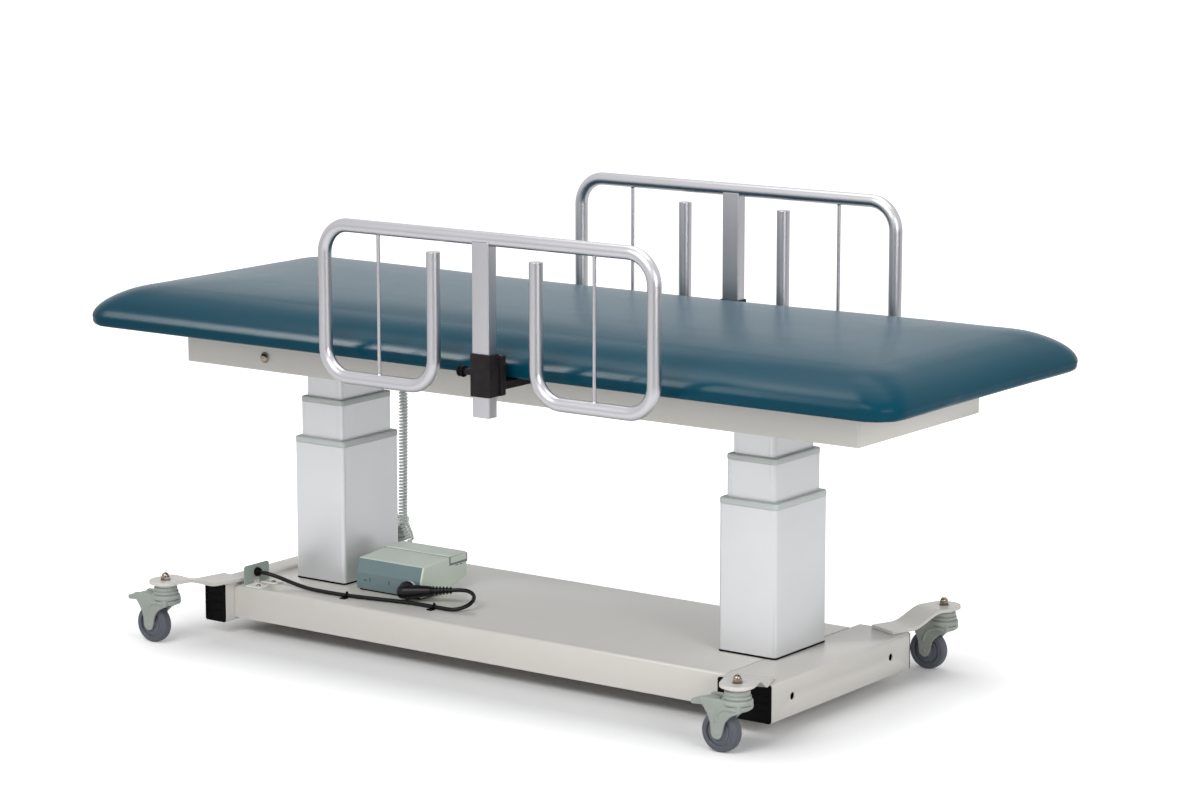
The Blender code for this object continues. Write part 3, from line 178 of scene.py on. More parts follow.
def skin(rings, looped=False):
    """Faces between point rings; the end rings are capped unless the skin closes on itself."""
    bm = bmesh.new()
    loops = [[bm.verts.new(point) for point in ring] for ring in rings]
    pairs = list(zip(loops, loops[1:]))
    if looped:
        pairs.append((loops[-1], loops[0]))
    for low, high in pairs:
        for i in range(len(low)):
            j = (i + 1) % len(low)
            bm.faces.new((low[i], low[j], high[j], high[i]))
    if not looped:
        bm.faces.new(loops[0][::-1])
        bm.faces.new(loops[-1])
    bmesh.ops.remove_doubles(bm, verts=bm.verts, dist=1e-6)
    bmesh.ops.recalc_face_normals(bm, faces=bm.faces)
    return bm


def rounded_rect(length, width, radius, steps=8):
    points = []
    for quarter in range(4):
        side_x = 1 if quarter in (0, 3) else -1
        side_y = 1 if quarter in (0, 1) else -1
        for step in range(steps + 1):
            angle = (quarter + step / steps) * math.pi / 2
            x = side_x * (length / 2 - radius) + radius * math.cos(angle)
            y = side_y * (width / 2 - radius) + radius * math.sin(angle)
            points.append((x, y))
    return points


def at_height(outline, z, x=0.0, y=0.0):
    return [(x + px, y + py, z) for px, py in outline]


def circle(radius, sides):
    angles = [2 * math.pi * step / sides for step in range(sides)]
    return [(radius * math.cos(angle), radius * math.sin(angle)) for angle in angles]


def spun(profile, sides, looped=False):
    """Spin (radius, height) points about Z."""
    return skin([at_height(circle(radius, sides), height) for radius, height in profile], looped)


def round_bar(points, radius, sides):
    """Round bar along a path; radius is one number, or one for each point."""
    path = [Vector(point) for point in points]
    radii = radius if isinstance(radius, list) else [radius] * len(path)
    normal = None
    rings = []
    for i, point in enumerate(path):
        ahead = (path[min(i + 1, len(path) - 1)] - path[max(i - 1, 0)]).normalized()
        if normal is None:
            normal = ahead.orthogonal()
        normal = (normal - ahead * normal.dot(ahead)).normalized()
        across = ahead.cross(normal)
        rings.append([point + normal * x + across * y for x, y in circle(radii[i], sides)])
    return skin(rings)


def bent_path(corners, radius, steps):
    """Straight runs between corners, each corner rounded by an arc."""
    points = [corners[0]]
    for before, corner, after in zip(corners, corners[1:], corners[2:]):
        into = (corner - before).normalized()
        out = (after - corner).normalized()
        turn = into.angle(out)
        start = corner - into * radius * math.tan(turn / 2)
        inward = (out - into * out.dot(into)).normalized()
        centre = start + inward * radius
        axis = into.cross(out).normalized()
        for step in range(steps + 1):
            spin = Matrix.Rotation(turn * step / steps, 3, axis)
            points.append(centre + spin @ (start - centre))
    points.append(corners[-1])
    return points


def smooth_route(points, spacing):
    """Evenly spaced points on a smooth curve through the given ones."""
    knots = [Vector(point) for point in points]
    knots = [2 * knots[0] - knots[1]] + knots + [2 * knots[-1] - knots[-2]]
    dense = []
    fine_steps = 24
    for a, b, c, d in zip(knots, knots[1:], knots[2:], knots[3:]):
        for step in range(fine_steps):
            t = step / fine_steps
            curve = 2 * b + (c - a) * t + (2 * a - 5 * b + 4 * c - d) * t ** 2
            dense.append(0.5 * (curve + (3 * b - a - 3 * c + d) * t ** 3))
    dense.append(knots[-2])
    lengths = [0.0]
    for p, q in zip(dense, dense[1:]):
        lengths.append(lengths[-1] + (q - p).length)
    count = max(2, round(lengths[-1] / spacing))
    route = []
    for i in range(count + 1):
        target = lengths[-1] * i / count
        k = next(n for n in range(1, len(lengths)) if lengths[n] >= target - 1e-9)
        share = (target - lengths[k - 1]) / (lengths[k] - lengths[k - 1])
        route.append(dense[k - 1].lerp(dense[k], share))
    return route


def moved(bm, x=0.0, y=0.0, z=0.0):
    bmesh.ops.translate(bm, vec=(x, y, z), verts=bm.verts)
    return bm


def turned(bm, degrees, axis):
    bmesh.ops.transform(bm, matrix=Matrix.Rotation(math.radians(degrees), 4, axis), verts=bm.verts)
    return bm


def block(low, high):
    outline = [(low[0], low[1]), (high[0], low[1]), (high[0], high[1]), (low[0], high[1])]
    return skin([at_height(outline, low[2]), at_height(outline, high[2])])


def slab_along_x(outline, low, high):
    """A prism between two x values, its (y, z) outline the same all along."""
    return skin([[(x, y, z) for y, z in outline] for x in (low, high)])


def joined(*shapes):
    """One mesh that holds several closed shapes."""
    whole = bmesh.new()
    for shape in shapes:
        part = bpy.data.meshes.new("part")
        shape.to_mesh(part)
        shape.free()
        whole.from_mesh(part)
        bpy.data.meshes.remove(part)
    return whole


def as_mesh(bm):
    mesh = bpy.data.meshes.new("shape")
    bm.to_mesh(mesh)
    bm.free()
    return mesh


def as_bmesh(mesh):
    bm = bmesh.new()
    bm.from_mesh(mesh)
    return bm


def shown(name, data):
    """A new object in the scene."""
    obj = bpy.data.objects.new(name, data)
    scene.collection.objects.link(obj)
    return obj


def taken_off(bench):
    """The mesh of an object after its modifiers; the object itself goes."""
    depsgraph = bpy.context.evaluated_depsgraph_get()
    result = bpy.data.meshes.new_from_object(bench.evaluated_get(depsgraph))
    bpy.data.objects.remove(bench)
    return result


def settled(mesh, *steps):
    """The mesh after a run of modifiers, each given as its kind and its settings."""
    bench = shown("bench", mesh)
    for kind, settings in steps:
        modifier = bench.modifiers.new(kind.lower(), kind)
        for key, value in settings.items():
            setattr(modifier, key, value)
    return taken_off(bench)


def eased(mesh, radius, segments=3, angle=30):
    """The mesh with its sharp edges rounded, and its flat faces still flat."""
    mesh.shade_smooth()
    bevel = {
        "width": radius,
        "segments": segments,
        "limit_method": "ANGLE",
        "angle_limit": math.radians(angle),
        "harden_normals": True,
    }
    return settled(mesh, ("BEVEL", bevel))


def melted(bm, voxel, rounds):
    """Closed shapes run together into one moulding."""
    return settled(as_mesh(bm), ("REMESH", {"mode": "VOXEL", "voxel_size": voxel}),
                   ("SMOOTH", {"factor": 0.5, "iterations": rounds}))


def cut_out(mesh, cutter):
    """The mesh with a closed shape taken out of it."""
    tool = shown("cutter", as_mesh(cutter))
    result = settled(mesh, ("BOOLEAN", {"operation": "DIFFERENCE", "object": tool, "solver": "EXACT"}))
    bpy.data.objects.remove(tool)
    return result


def solid_copy(node):
    """A merged copy of a solid, its flat faces made whole."""
    bm = as_bmesh(nodes[node].data)
    bmesh.ops.remove_doubles(bm, verts=bm.verts, dist=1e-5)
    bmesh.ops.dissolve_limit(bm, angle_limit=math.radians(1.5), verts=bm.verts, edges=bm.edges)
    return bm


def shifted(mesh, x, y, z=0.0):
    copy = mesh.copy()
    copy.transform(Matrix.Translation((x, y, z)))
    return copy


def piece(name, mesh, finish, body, stands_for=(), angle=None):
    """Add a finished piece that rides on a body; an angle shades it smooth up to that crease."""
    mesh.name = name
    mesh.materials.clear()
    mesh.materials.append(finish)
    if angle is not None:
        mesh.shade_smooth()
        mesh.set_sharp_from_angle(angle=math.radians(angle))
    obj = shown(name, mesh)
    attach(obj, body)
    if stands_for:
        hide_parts(*stands_for)
    return obj


# Node helpers

def srgb(red, green, blue):
    def linear(value):
        share = value / 255
        return share / 12.92 if share <= 0.04045 else ((share + 0.055) / 1.055) ** 2.4
    return (linear(red), linear(green), linear(blue), 1.0)


def add(tree, kind, inputs=None, **settings):
    known = kind.startswith(("GeometryNode", "FunctionNode"))
    node = tree.nodes.new(kind if known else "ShaderNode" + kind)
    for name, value in settings.items():
        setattr(node, name, value)
    for name, value in (inputs or {}).items():
        if isinstance(value, bpy.types.NodeSocket):
            tree.links.new(value, node.inputs[name])
        else:
            node.inputs[name].default_value = value
    return node


def calc(tree, operation, first, second):
    return add(tree, "Math", {0: first, 1: second}, operation=operation).outputs[0]


def ramp(tree, value, low, high, to_low=0.0, to_high=1.0):
    inputs = {"Value": value, "From Min": low, "From Max": high, "To Min": to_low, "To Max": to_high}
    return add(tree, "MapRange", inputs).outputs["Result"]


def mix_colour(tree, share, first, second):
    return add(tree, "Mix", {0: share, 6: first, 7: second}, data_type="RGBA").outputs[2]


def object_space(tree):
    return add(tree, "TexCoord").outputs["Object"]


def cloud(tree, where, scale, detail):
    return add(tree, "TexNoise", {"Vector": where, "Scale": scale, "Detail": detail}).outputs["Fac"]


# Geometry Nodes: copies on points, and ribs along a path

def new_tree(name, inputs):
    """A Geometry Nodes tree with named inputs; gives the tree, its ends and each input's identifier."""
    tree = bpy.data.node_groups.new(name, "GeometryNodeTree")
    tree.interface.new_socket("Geometry", in_out="INPUT", socket_type="NodeSocketGeometry")
    keys = {}
    for socket, kind in inputs:
        made = tree.interface.new_socket(socket, in_out="INPUT", socket_type="NodeSocket" + kind)
        keys[socket] = made.identifier
    tree.interface.new_socket("Geometry", in_out="OUTPUT", socket_type="NodeSocketGeometry")
    return tree, tree.nodes.new("NodeGroupInput").outputs, tree.nodes.new("NodeGroupOutput").inputs, keys


def end_tree(tree, points, shape, rotation, size, finish, out):
    """Close a tree: a copy of the shape on each point, made real and given its finish."""
    copied = add(tree, "GeometryNodeObjectInfo", {"Object": shape}).outputs["Geometry"]
    inputs = {"Points": points, "Instance": copied, "Rotation": rotation, "Scale": size}
    spread = add(tree, "GeometryNodeInstanceOnPoints", inputs).outputs["Instances"]
    real = add(tree, "GeometryNodeRealizeInstances", {"Geometry": spread}).outputs["Geometry"]
    dressed = add(tree, "GeometryNodeSetMaterial", {"Geometry": real, "Material": finish}).outputs["Geometry"]
    tree.links.new(dressed, out["Geometry"])


def copies_tree():
    """One copy of a shape on each point: its Z along the point's facing, its X along the point's heading."""
    tree, given, out, keys = new_tree("copies_on_points",
                                      [("Shape", "Object"), ("Size", "Float"), ("Finish", "Material")])
    named = "GeometryNodeInputNamedAttribute"
    facing = add(tree, named, {"Name": "facing"}, data_type="FLOAT_VECTOR").outputs["Attribute"]
    heading = add(tree, named, {"Name": "heading"}, data_type="FLOAT_VECTOR").outputs["Attribute"]
    align = "FunctionNodeAlignRotationToVector"
    upright = add(tree, align, {"Vector": facing}, axis="Z").outputs["Rotation"]
    both = {"Rotation": upright, "Vector": heading}
    turn = add(tree, align, both, axis="X", pivot_axis="Z").outputs["Rotation"]
    end_tree(tree, given["Geometry"], given["Shape"], turn, given["Size"], given["Finish"], out)
    return tree, keys


def ribs_tree():
    """Rings set evenly along a path, from a first size to a last one."""
    tree, given, out, keys = new_tree(
        "ribs_on_path", [("Rib", "Object"), ("Count", "Int"), ("First Size", "Float"), ("Last Size", "Float"),
                         ("Finish", "Material")])
    path = add(tree, "GeometryNodeMeshToCurve", {"Mesh": given["Geometry"]}).outputs["Curve"]
    spaced = add(tree, "GeometryNodeResampleCurve", {"Curve": path, "Count": given["Count"]}).outputs["Curve"]
    ahead = add(tree, "GeometryNodeInputTangent").outputs["Tangent"]
    turn = add(tree, "FunctionNodeAlignRotationToVector", {"Vector": ahead}, axis="Z").outputs["Rotation"]
    share = add(tree, "GeometryNodeSplineParameter").outputs["Factor"]
    size = ramp(tree, share, 0.0, 1.0, given["First Size"], given["Last Size"])
    end_tree(tree, spaced, given["Rib"], turn, size, given["Finish"], out)
    return tree, keys


COPIES = copies_tree()
RIBS = ribs_tree()


def grown(mesh, tree, shape, values):
    """The plain mesh that a tree makes of a mesh; the shape to copy is the value left as None."""
    stamp = shown("stamp", shape)
    bench = shown("bench", mesh)
    modifier = bench.modifiers.new("tree", "NODES")
    modifier.node_group = tree
    for key, value in values.items():
        modifier[key] = stamp if value is None else value
    result = taken_off(bench)
    bpy.data.objects.remove(stamp)
    return result


def copies_on(spots, shape, finish, size=1.0):
    """Copies of a shape on spots, each given as its place, its facing and its heading."""
    mesh = bpy.data.meshes.new("spots")
    mesh.from_pydata([spot[0] for spot in spots], [], [])
    for name, which in (("facing", 1), ("heading", 2)):
        layer = mesh.attributes.new(name, "FLOAT_VECTOR", "POINT")
        for value, spot in zip(layer.data, spots):
            value.vector = spot[which]
    tree, keys = COPIES
    return grown(mesh, tree, shape, {keys["Shape"]: None, keys["Size"]: size, keys["Finish"]: finish})


def ribs_on(path, shape, count, first, last, finish):
    """Rings of a unit shape along a path."""
    mesh = bpy.data.meshes.new("path")
    mesh.from_pydata(path, [(i, i + 1) for i in range(len(path) - 1)], [])
    tree, keys = RIBS
    return grown(mesh, tree, shape, {keys["Rib"]: None, keys["Count"]: count, keys["First Size"]: first,
                                     keys["Last Size"]: last, keys["Finish"]: finish})


def copied_piece(name, spots, shape, finish, body, angle, size=1.0):
    """Add one piece made of copies of a shape on spots."""
    piece(name, copies_on(spots, shape, finish, size), finish, body, (), angle)


# Shader groups

def new_group(name, inputs, outputs):
    tree = bpy.data.node_groups.new(name, "ShaderNodeTree")
    for socket, kind, value in inputs:
        made = tree.interface.new_socket(socket, in_out="INPUT", socket_type="NodeSocket" + kind)
        made.default_value = value
    for socket, kind in outputs:
        tree.interface.new_socket(socket, in_out="OUTPUT", socket_type="NodeSocket" + kind)
    return tree, tree.nodes.new("NodeGroupInput").outputs, tree.nodes.new("NodeGroupOutput").inputs


def use_group(tree, group, inputs):
    return add(tree, "Group", inputs, node_tree=group).outputs


def surface_life_group():
    """Slow drift of tone and gloss over a surface, and the fine grain of its skin."""
    tree, given, out = new_group(
        "surface_life",
        [("Colour", "Color", (0.5, 0.5, 0.5, 1.0)), ("Tone Spread", "Float", 0.05),
         ("Tone Size", "Float", 7.0), ("Roughness", "Float", 0.4), ("Roughness Spread", "Float", 0.05),
         ("Grain Size", "Float", 900.0)],
        [("Colour", "Color"), ("Roughness", "Float"), ("Height", "Float")])
    where = object_space(tree)
    drift = ramp(tree, cloud(tree, where, given["Tone Size"], 5.0), 0.3, 0.7, -1.0, 1.0)
    tone = calc(tree, "ADD", calc(tree, "MULTIPLY", drift, given["Tone Spread"]), 1.0)
    tinted = add(tree, "VectorMath", {0: given["Colour"], "Scale": tone}, operation="SCALE")
    tree.links.new(tinted.outputs["Vector"], out["Colour"])
    smear = ramp(tree, cloud(tree, where, 23.0, 6.0), 0.3, 0.7, -1.0, 1.0)
    gloss = calc(tree, "ADD", calc(tree, "MULTIPLY", smear, given["Roughness Spread"]), given["Roughness"])
    tree.links.new(gloss, out["Roughness"])
    tree.links.new(cloud(tree, where, given["Grain Size"], 2.0), out["Height"])
    return tree


def settled_dust_group():
    """A thin film of dust on what faces up."""
    tree, given, out = new_group(
        "settled_dust",
        [("Colour", "Color", (0.5, 0.5, 0.5, 1.0)), ("Roughness", "Float", 0.4),
         ("Dust", "Color", (0.55, 0.53, 0.50, 1.0)), ("Amount", "Float", 0.2)],
        [("Colour", "Color"), ("Roughness", "Float")])
    normal = add(tree, "NewGeometry").outputs["Normal"]
    facing = add(tree, "SeparateXYZ", {0: normal}).outputs["Z"]
    upward = ramp(tree, facing, 0.55, 0.98)
    patches = ramp(tree, cloud(tree, object_space(tree), 31.0, 8.0), 0.35, 0.75)
    mask = calc(tree, "MULTIPLY", calc(tree, "MULTIPLY", upward, patches), given["Amount"])
    tree.links.new(mix_colour(tree, mask, given["Colour"], given["Dust"]), out["Colour"])
    rough = calc(tree, "ADD", calc(tree, "MULTIPLY", mask, 0.35), given["Roughness"])
    tree.links.new(rough, out["Roughness"])
    return tree


def edge_rub_group():
    """Edges rubbed to another tone, broken up by noise."""
    tree, given, out = new_group(
        "edge_rub",
        [("Colour", "Color", (0.5, 0.5, 0.5, 1.0)), ("Rub", "Color", (0.7, 0.7, 0.7, 1.0)),
         ("Amount", "Float", 0.3)],
        [("Colour", "Color")])
    sharp = ramp(tree, add(tree, "NewGeometry").outputs["Pointiness"], 0.51, 0.60)
    broken = ramp(tree, cloud(tree, object_space(tree), 60.0, 6.0), 0.38, 0.62)
    mask = calc(tree, "MULTIPLY", calc(tree, "MULTIPLY", sharp, broken), given["Amount"])
    tree.links.new(mix_colour(tree, mask, given["Colour"], given["Rub"]), out["Colour"])
    return tree


def drawn_lines_group():
    """Fine lines drawn along one axis, as on extruded profile and polished bar."""
    tree, given, out = new_group(
        "drawn_lines",
        [("Stretch", "Vector", (700.0, 700.0, 3.0)), ("Roughness", "Float", 0.35), ("Spread", "Float", 0.06)],
        [("Roughness", "Float"), ("Height", "Float")])
    scaled = add(tree, "VectorMath", {0: object_space(tree), 1: given["Stretch"]}, operation="MULTIPLY")
    lines = cloud(tree, scaled.outputs["Vector"], 1.0, 3.0)
    swing = ramp(tree, lines, 0.3, 0.7, -1.0, 1.0)
    gloss = calc(tree, "ADD", calc(tree, "MULTIPLY", swing, given["Spread"]), given["Roughness"])
    tree.links.new(gloss, out["Roughness"])
    tree.links.new(lines, out["Height"])
    return tree


SURFACE_LIFE = surface_life_group()
SETTLED_DUST = settled_dust_group()
EDGE_RUB = edge_rub_group()
DRAWN_LINES = drawn_lines_group()


# Finishes

def new_finish(name, **sockets):
    material = bpy.data.materials.new(name)
    material.use_nodes = True
    tree = material.node_tree
    shader = tree.nodes["Principled BSDF"]
    for socket, value in sockets.items():
        shader.inputs[socket.replace("_", " ")].default_value = value
    return material, tree, shader


def feed(tree, shader, colour, roughness, height, strength, distance):
    tree.links.new(colour, shader.inputs["Base Color"])
    tree.links.new(roughness, shader.inputs["Roughness"])
    bump = add(tree, "Bump", {"Height": height, "Strength": strength, "Distance": distance})
    tree.links.new(bump.outputs["Normal"], shader.inputs["Normal"])


def moulded(name, colour, roughness, grain=1400.0, relief=0.00006, spread=0.05, dust=0.0, rub=None, gloss=0.3,
            smear=0.04):
    """Paint, plastic or rubber: a base tone with life in it, and if asked for, rubbed edges and dust."""
    material, tree, shader = new_finish(name, Specular_IOR_Level=gloss)
    life = use_group(tree, SURFACE_LIFE, {"Colour": colour, "Tone Spread": spread, "Roughness": roughness,
                                          "Roughness Spread": smear, "Grain Size": grain})
    tint = life["Colour"]
    rough = life["Roughness"]
    if rub:
        tint = use_group(tree, EDGE_RUB, {"Colour": tint, "Rub": rub})["Colour"]
    if dust:
        film = use_group(tree, SETTLED_DUST, {"Colour": tint, "Roughness": rough, "Amount": dust})
        tint = film["Colour"]
        rough = film["Roughness"]
    feed(tree, shader, tint, rough, life["Height"], 0.5, relief)
    return material


def drawn_metal(name, colour, roughness, stretch, spread=0.04, relief=0.00001, metallic=1.0):
    """Bare metal with lines along it and a slow drift of tone."""
    material, tree, shader = new_finish(name, Metallic=metallic)
    life = use_group(tree, SURFACE_LIFE, {"Colour": colour, "Tone Spread": 0.03, "Tone Size": 4.0})
    lines = use_group(tree, DRAWN_LINES, {"Stretch": stretch, "Roughness": roughness, "Spread": spread})
    feed(tree, shader, life["Colour"], lines["Roughness"], lines["Height"], 0.3, relief)
    return material


def upholstery():
    """Teal vinyl: pebbled grain, a soft sheen, and a little drift of colour."""
    material, tree, shader = new_finish("teal_vinyl", Specular_IOR_Level=0.08)
    where = object_space(tree)
    life = use_group(tree, SURFACE_LIFE, {"Colour": srgb(3, 57, 73), "Tone Spread": 0.03, "Tone Size": 3.0,
                                          "Roughness": 0.26, "Roughness Spread": 0.008})
    pebbles = add(tree, "TexVoronoi", {"Vector": where, "Scale": 620.0}, feature="SMOOTH_F1")
    creases = cloud(tree, where, 260.0, 4.0)
    raised = calc(tree, "MULTIPLY", pebbles.outputs["Distance"], 0.7)
    height = calc(tree, "ADD", raised, calc(tree, "MULTIPLY", creases, 0.5))
    feed(tree, shader, life["Colour"], life["Roughness"], height, 0.1, 0.00002)
    return material


PAINT = moulded("warm_grey_powder_coat", srgb(206, 203, 197), 0.26, grain=700.0, relief=0.000004,
                spread=0.010, gloss=0.4, smear=0.008)
COLUMN_SILVER = drawn_metal("satin_silver_profile", srgb(217, 218, 220), 0.34, (500.0, 500.0, 2.0),
                            metallic=0.50)
RAIL_SILVER = drawn_metal("satin_silver_tube", srgb(193, 192, 196), 0.33, (5.0, 260.0, 5.0), spread=0.02,
                          relief=0.000002)
CHROME = drawn_metal("bright_chrome", srgb(150, 139, 128), 0.12, (300.0, 300.0, 300.0), spread=0.03)
STEEL = drawn_metal("ground_steel", srgb(176, 176, 178), 0.28, (600.0, 600.0, 3.0))
VINYL = upholstery()
BLACK_PLASTIC = moulded("black_moulding", srgb(12, 12, 12), 0.42, gloss=0.06)
SOCKET_BLACK = moulded("black_coated_steel", srgb(30, 27, 29), 0.45, grain=1100.0, relief=0.00012,
                       rub=srgb(80, 74, 72), gloss=0.10)
CASTER_PLASTIC = moulded("grey_green_moulding", srgb(154, 160, 154), 0.40, dust=0.05, rub=srgb(180, 185, 180))
SWIVEL_RING = moulded("pale_swivel_ring", srgb(206, 208, 204), 0.40)
TREAD = moulded("grey_tread", srgb(88, 92, 99), 0.50, grain=700.0, dust=0.10)
HUB = moulded("hub_moulding", srgb(104, 108, 115), 0.40)
COLLAR_PLASTIC = moulded("pale_collar_moulding", srgb(196, 202, 200), 0.45)
BOX_SHELL = moulded("box_shell_moulding", srgb(213, 223, 212), 0.44, grain=1600.0, relief=0.00010, dust=0.05)
BOX_FRONT = moulded("box_front_moulding", srgb(111, 130, 133), 0.44, grain=1600.0, relief=0.00010)
INLET_PLASTIC = moulded("inlet_moulding", srgb(200, 208, 210), 0.40)
SLOT_DARK = moulded("slot_shadow", srgb(30, 34, 34), 0.60, gloss=0.1)
BRACKET_PAINT = moulded("grey_green_paint", srgb(146, 158, 149), 0.42, rub=srgb(170, 178, 170))
CREAM = moulded("cream_tab", srgb(238, 236, 229), 0.45)
LEAD_BLACK = moulded("lead_sheath", srgb(17, 17, 19), 0.34, grain=500.0, relief=0.00005, gloss=0.25)
CURLY_SHEATH = moulded("curly_sheath", srgb(232, 238, 234), 0.40, grain=900.0)
BUTTON_GREY_AND_SEAM_SHADE = moulded("button_moulding_and_seam_shade", srgb(120, 130, 126), 0.50)


# Cords: the lead from its plug to the gland, and the curly cord to the hand control

def make_lead():
    start = PLUG_TAIL_START + PLUG_TAIL + PLUG_HEADING * SEAT_GAP
    low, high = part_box("lead_gland")
    mouth = Vector((high.x + SEAT_GAP, (low.y + high.y) / 2, (low.z + high.z) / 2))
    run = PAN_TOP + SEAT_GAP + LEAD_RADIUS
    loop = []
    loop_steps = 8
    for i in range(loop_steps + 1):
        share = i / loop_steps
        turn = math.radians(LEAD_LOOP_FROM - LEAD_LOOP_TURN * share)
        fall = soft_step(share)
        reach = Vector((math.cos(turn), math.sin(turn), 0)) * LEAD_LOOP_RADIUS
        loop.append(LEAD_LOOP + reach + Vector((0, 0, (run - LEAD_LOOP.z) * fall)))
    route = smooth_route([start, start + PLUG_HEADING * 0.010] + loop + [
        (-0.212, -0.1385, run), (-0.260, -0.140, run), (-0.311, -0.147, run), (-0.362, -0.157, run),
        (-0.410, -0.164, run), (-0.460, -0.166, run), (-0.508, -0.165, run + 0.001),
        (-0.548, -0.164, run + 0.006), (-0.582, -0.167, run + 0.0135),
        mouth + Vector((0.012, 0, 0)), mouth], 0.0165)
    curve = bpy.data.curves.new("power_lead_sheath", "CURVE")
    curve.dimensions = "3D"
    curve.bevel_depth = LEAD_RADIUS
    curve.bevel_resolution = 5
    curve.resolution_u = 8
    curve.use_fill_caps = True
    spline = curve.splines.new("BEZIER")
    spline.bezier_points.add(len(route) - 1)
    for point, spot in zip(spline.bezier_points, route):
        point.co = spot
        point.handle_left_type = "AUTO"
        point.handle_right_type = "AUTO"
    curve.materials.append(LEAD_BLACK)
    lead = shown("power_lead_sheath", curve)
    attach(lead, "base")
    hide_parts("power_lead")
    return route


def curly_route():
    low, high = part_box("hand_control")
    head = Vector(((low.x + high.x) / 2, (low.y + high.y) / 2, low.z - SEAT_GAP))
    foot = CURLY_FOOT + Vector((0, 0.010 + SEAT_GAP, 0))
    spine = smooth_route([head + Vector((0, 0, -0.014)), (-0.573, 0.222, 0.420), (-0.556, 0.199, 0.330),
                          (-0.537, 0.174, 0.250), (-0.522, 0.155, 0.188), (-0.506, 0.150, 0.160),
                          (-0.490, 0.142, 0.137)], 0.004)
    route = [head, head + Vector((0, 0, -0.007))]
    points = CURLY_TURN_STEPS * CURLY_TURNS
    angle = 0.0
    for i in range(points + 1):
        share = i / points
        where = share * (len(spine) - 1)
        k = min(int(where), len(spine) - 2)
        centre = spine[k].lerp(spine[k + 1], where - k)
        ahead = (spine[k + 1] - spine[k]).normalized()
        across = ahead.cross(Vector((0, 1, 0))).normalized()
        beside = across.cross(ahead)
        near_end = min(1.0, share / CURLY_EASE, (1 - share) / CURLY_EASE)
        wound = soft_step(near_end)
        angle += 2 * math.pi * CURLY_TURNS / points * wound / (1 - CURLY_EASE)
        route.append(centre + (across * math.cos(angle) + beside * math.sin(angle)) * CURLY_TURN * wound)
    tail = smooth_route([route[-1], (-0.478, 0.134, 0.124), (-0.448, 0.118, 0.113), (-0.412, 0.104, 0.118),
                         (-0.390, 0.086, 0.138), foot + Vector((0, 0.007, 0)), foot], 0.006)
    return route + tail[1:], head


def make_curly_cord():
    route, head = curly_route()
    mesh = as_mesh(round_bar(route, CURLY_RADIUS, 10))
    mesh.materials.append(CURLY_SHEATH)
    mesh.shade_smooth()
    mesh.name = "curly_cord_sheath"
    cord = shown("curly_cord_sheath", mesh)
    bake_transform(cord)
    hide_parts("curly_cord")


# Padded top: firm foam under stretched vinyl, swollen by a short cloth run

CLOTH_FRAMES = 20
PUCKER_HEIGHT = 0.034
PUCKER_START = 0.006


def cushion_ring(inset, z):
    half = (TOP_HIGH - TOP_LOW) / 2
    length = 2 * (half.x - inset)
    width = 2 * (half.y - inset)
    radius = min(CUSHION_CORNER - 0.10 * inset, 0.48 * width)
    points = rounded_rect(length, width, radius, 14)
    ring = []
    side_steps = 40
    for i, (x, y) in enumerate(points):
        ring.append((x, y, z))
        if (i + 1) % 15 == 0:
            next_x, next_y = points[(i + 1) % len(points)]
            for step in range(1, side_steps):
                share = step / side_steps
                draw = CUSHION_DRAW_IN * math.sin(math.pi * share) ** 2
                side_x = x + (next_x - x) * share
                side_y = y + (next_y - y) * share
                if abs(next_x - x) > abs(next_y - y):
                    side_y -= math.copysign(min(draw, 0.5 * abs(side_y)), side_y)
                else:
                    side_x -= math.copysign(draw, side_x)
                ring.append((side_x, side_y, z))
    return ring


def crown(inset):
    """Rise of the pillow over a level top: it sets in before the rim, and eases off to the middle."""
    if inset < CROWN_START:
        return 0.0
    run_in = CUSHION_EDGE_REACH - CROWN_START
    if inset < CUSHION_EDGE_REACH:
        return CROWN_SLOPE * (inset - CROWN_START) ** 2 / (2 * run_in)
    room = CUSHION_HALF_WIDTH - CUSHION_EDGE_REACH
    share = min((inset - CUSHION_EDGE_REACH) / room, 1.0)
    return CROWN_SLOPE * (run_in / 2 + room / 3 * (1 - (1 - share) ** 3))


CUSHION_PEAK = TOP_HIGH.z - CUSHION_RIM_DROP + crown(CUSHION_HALF_WIDTH)


def cushion_form(held_in):
    """The top's outer form, held in all round by the room that the cloth will fill."""
    low = TOP_LOW.z
    top = TOP_HIGH.z - CUSHION_RIM_DROP - held_in
    belly = low + CUSHION_BELLY
    stations = []
    rings = [cushion_ring(0.30 * (TOP_HIGH.y - TOP_LOW.y), low),
             cushion_ring(CUSHION_UNDERCUT + held_in, low)]
    for step in range(1, 8):
        angle = math.pi / 2 * step / 8
        inset = CUSHION_UNDERCUT * (1 - math.sin(angle))
        rings.append(cushion_ring(held_in + inset, low + CUSHION_BELLY * (1 - math.cos(angle))))
    for step in range(19):
        angle = math.pi / 2 * step / 18
        inset = CUSHION_EDGE_REACH * (1 - max(math.cos(angle), 0.0) ** CUSHION_EDGE_FLATTEN)
        rise = math.sin(angle) ** CUSHION_EDGE_FLATTEN
        stations.append((held_in + inset, belly + (top - belly) * rise))
    room = CUSHION_HALF_WIDTH - CUSHION_EDGE_REACH - held_in
    stations += [(held_in + CUSHION_EDGE_REACH + share * room, top)
                 for share in (0.05, 0.1, 0.2, 0.3, 0.4, 0.6, 0.8, 0.95)]
    for inset, z in stations:
        rings.append(cushion_ring(inset, z + crown(inset - held_in)))
    return skin(rings)


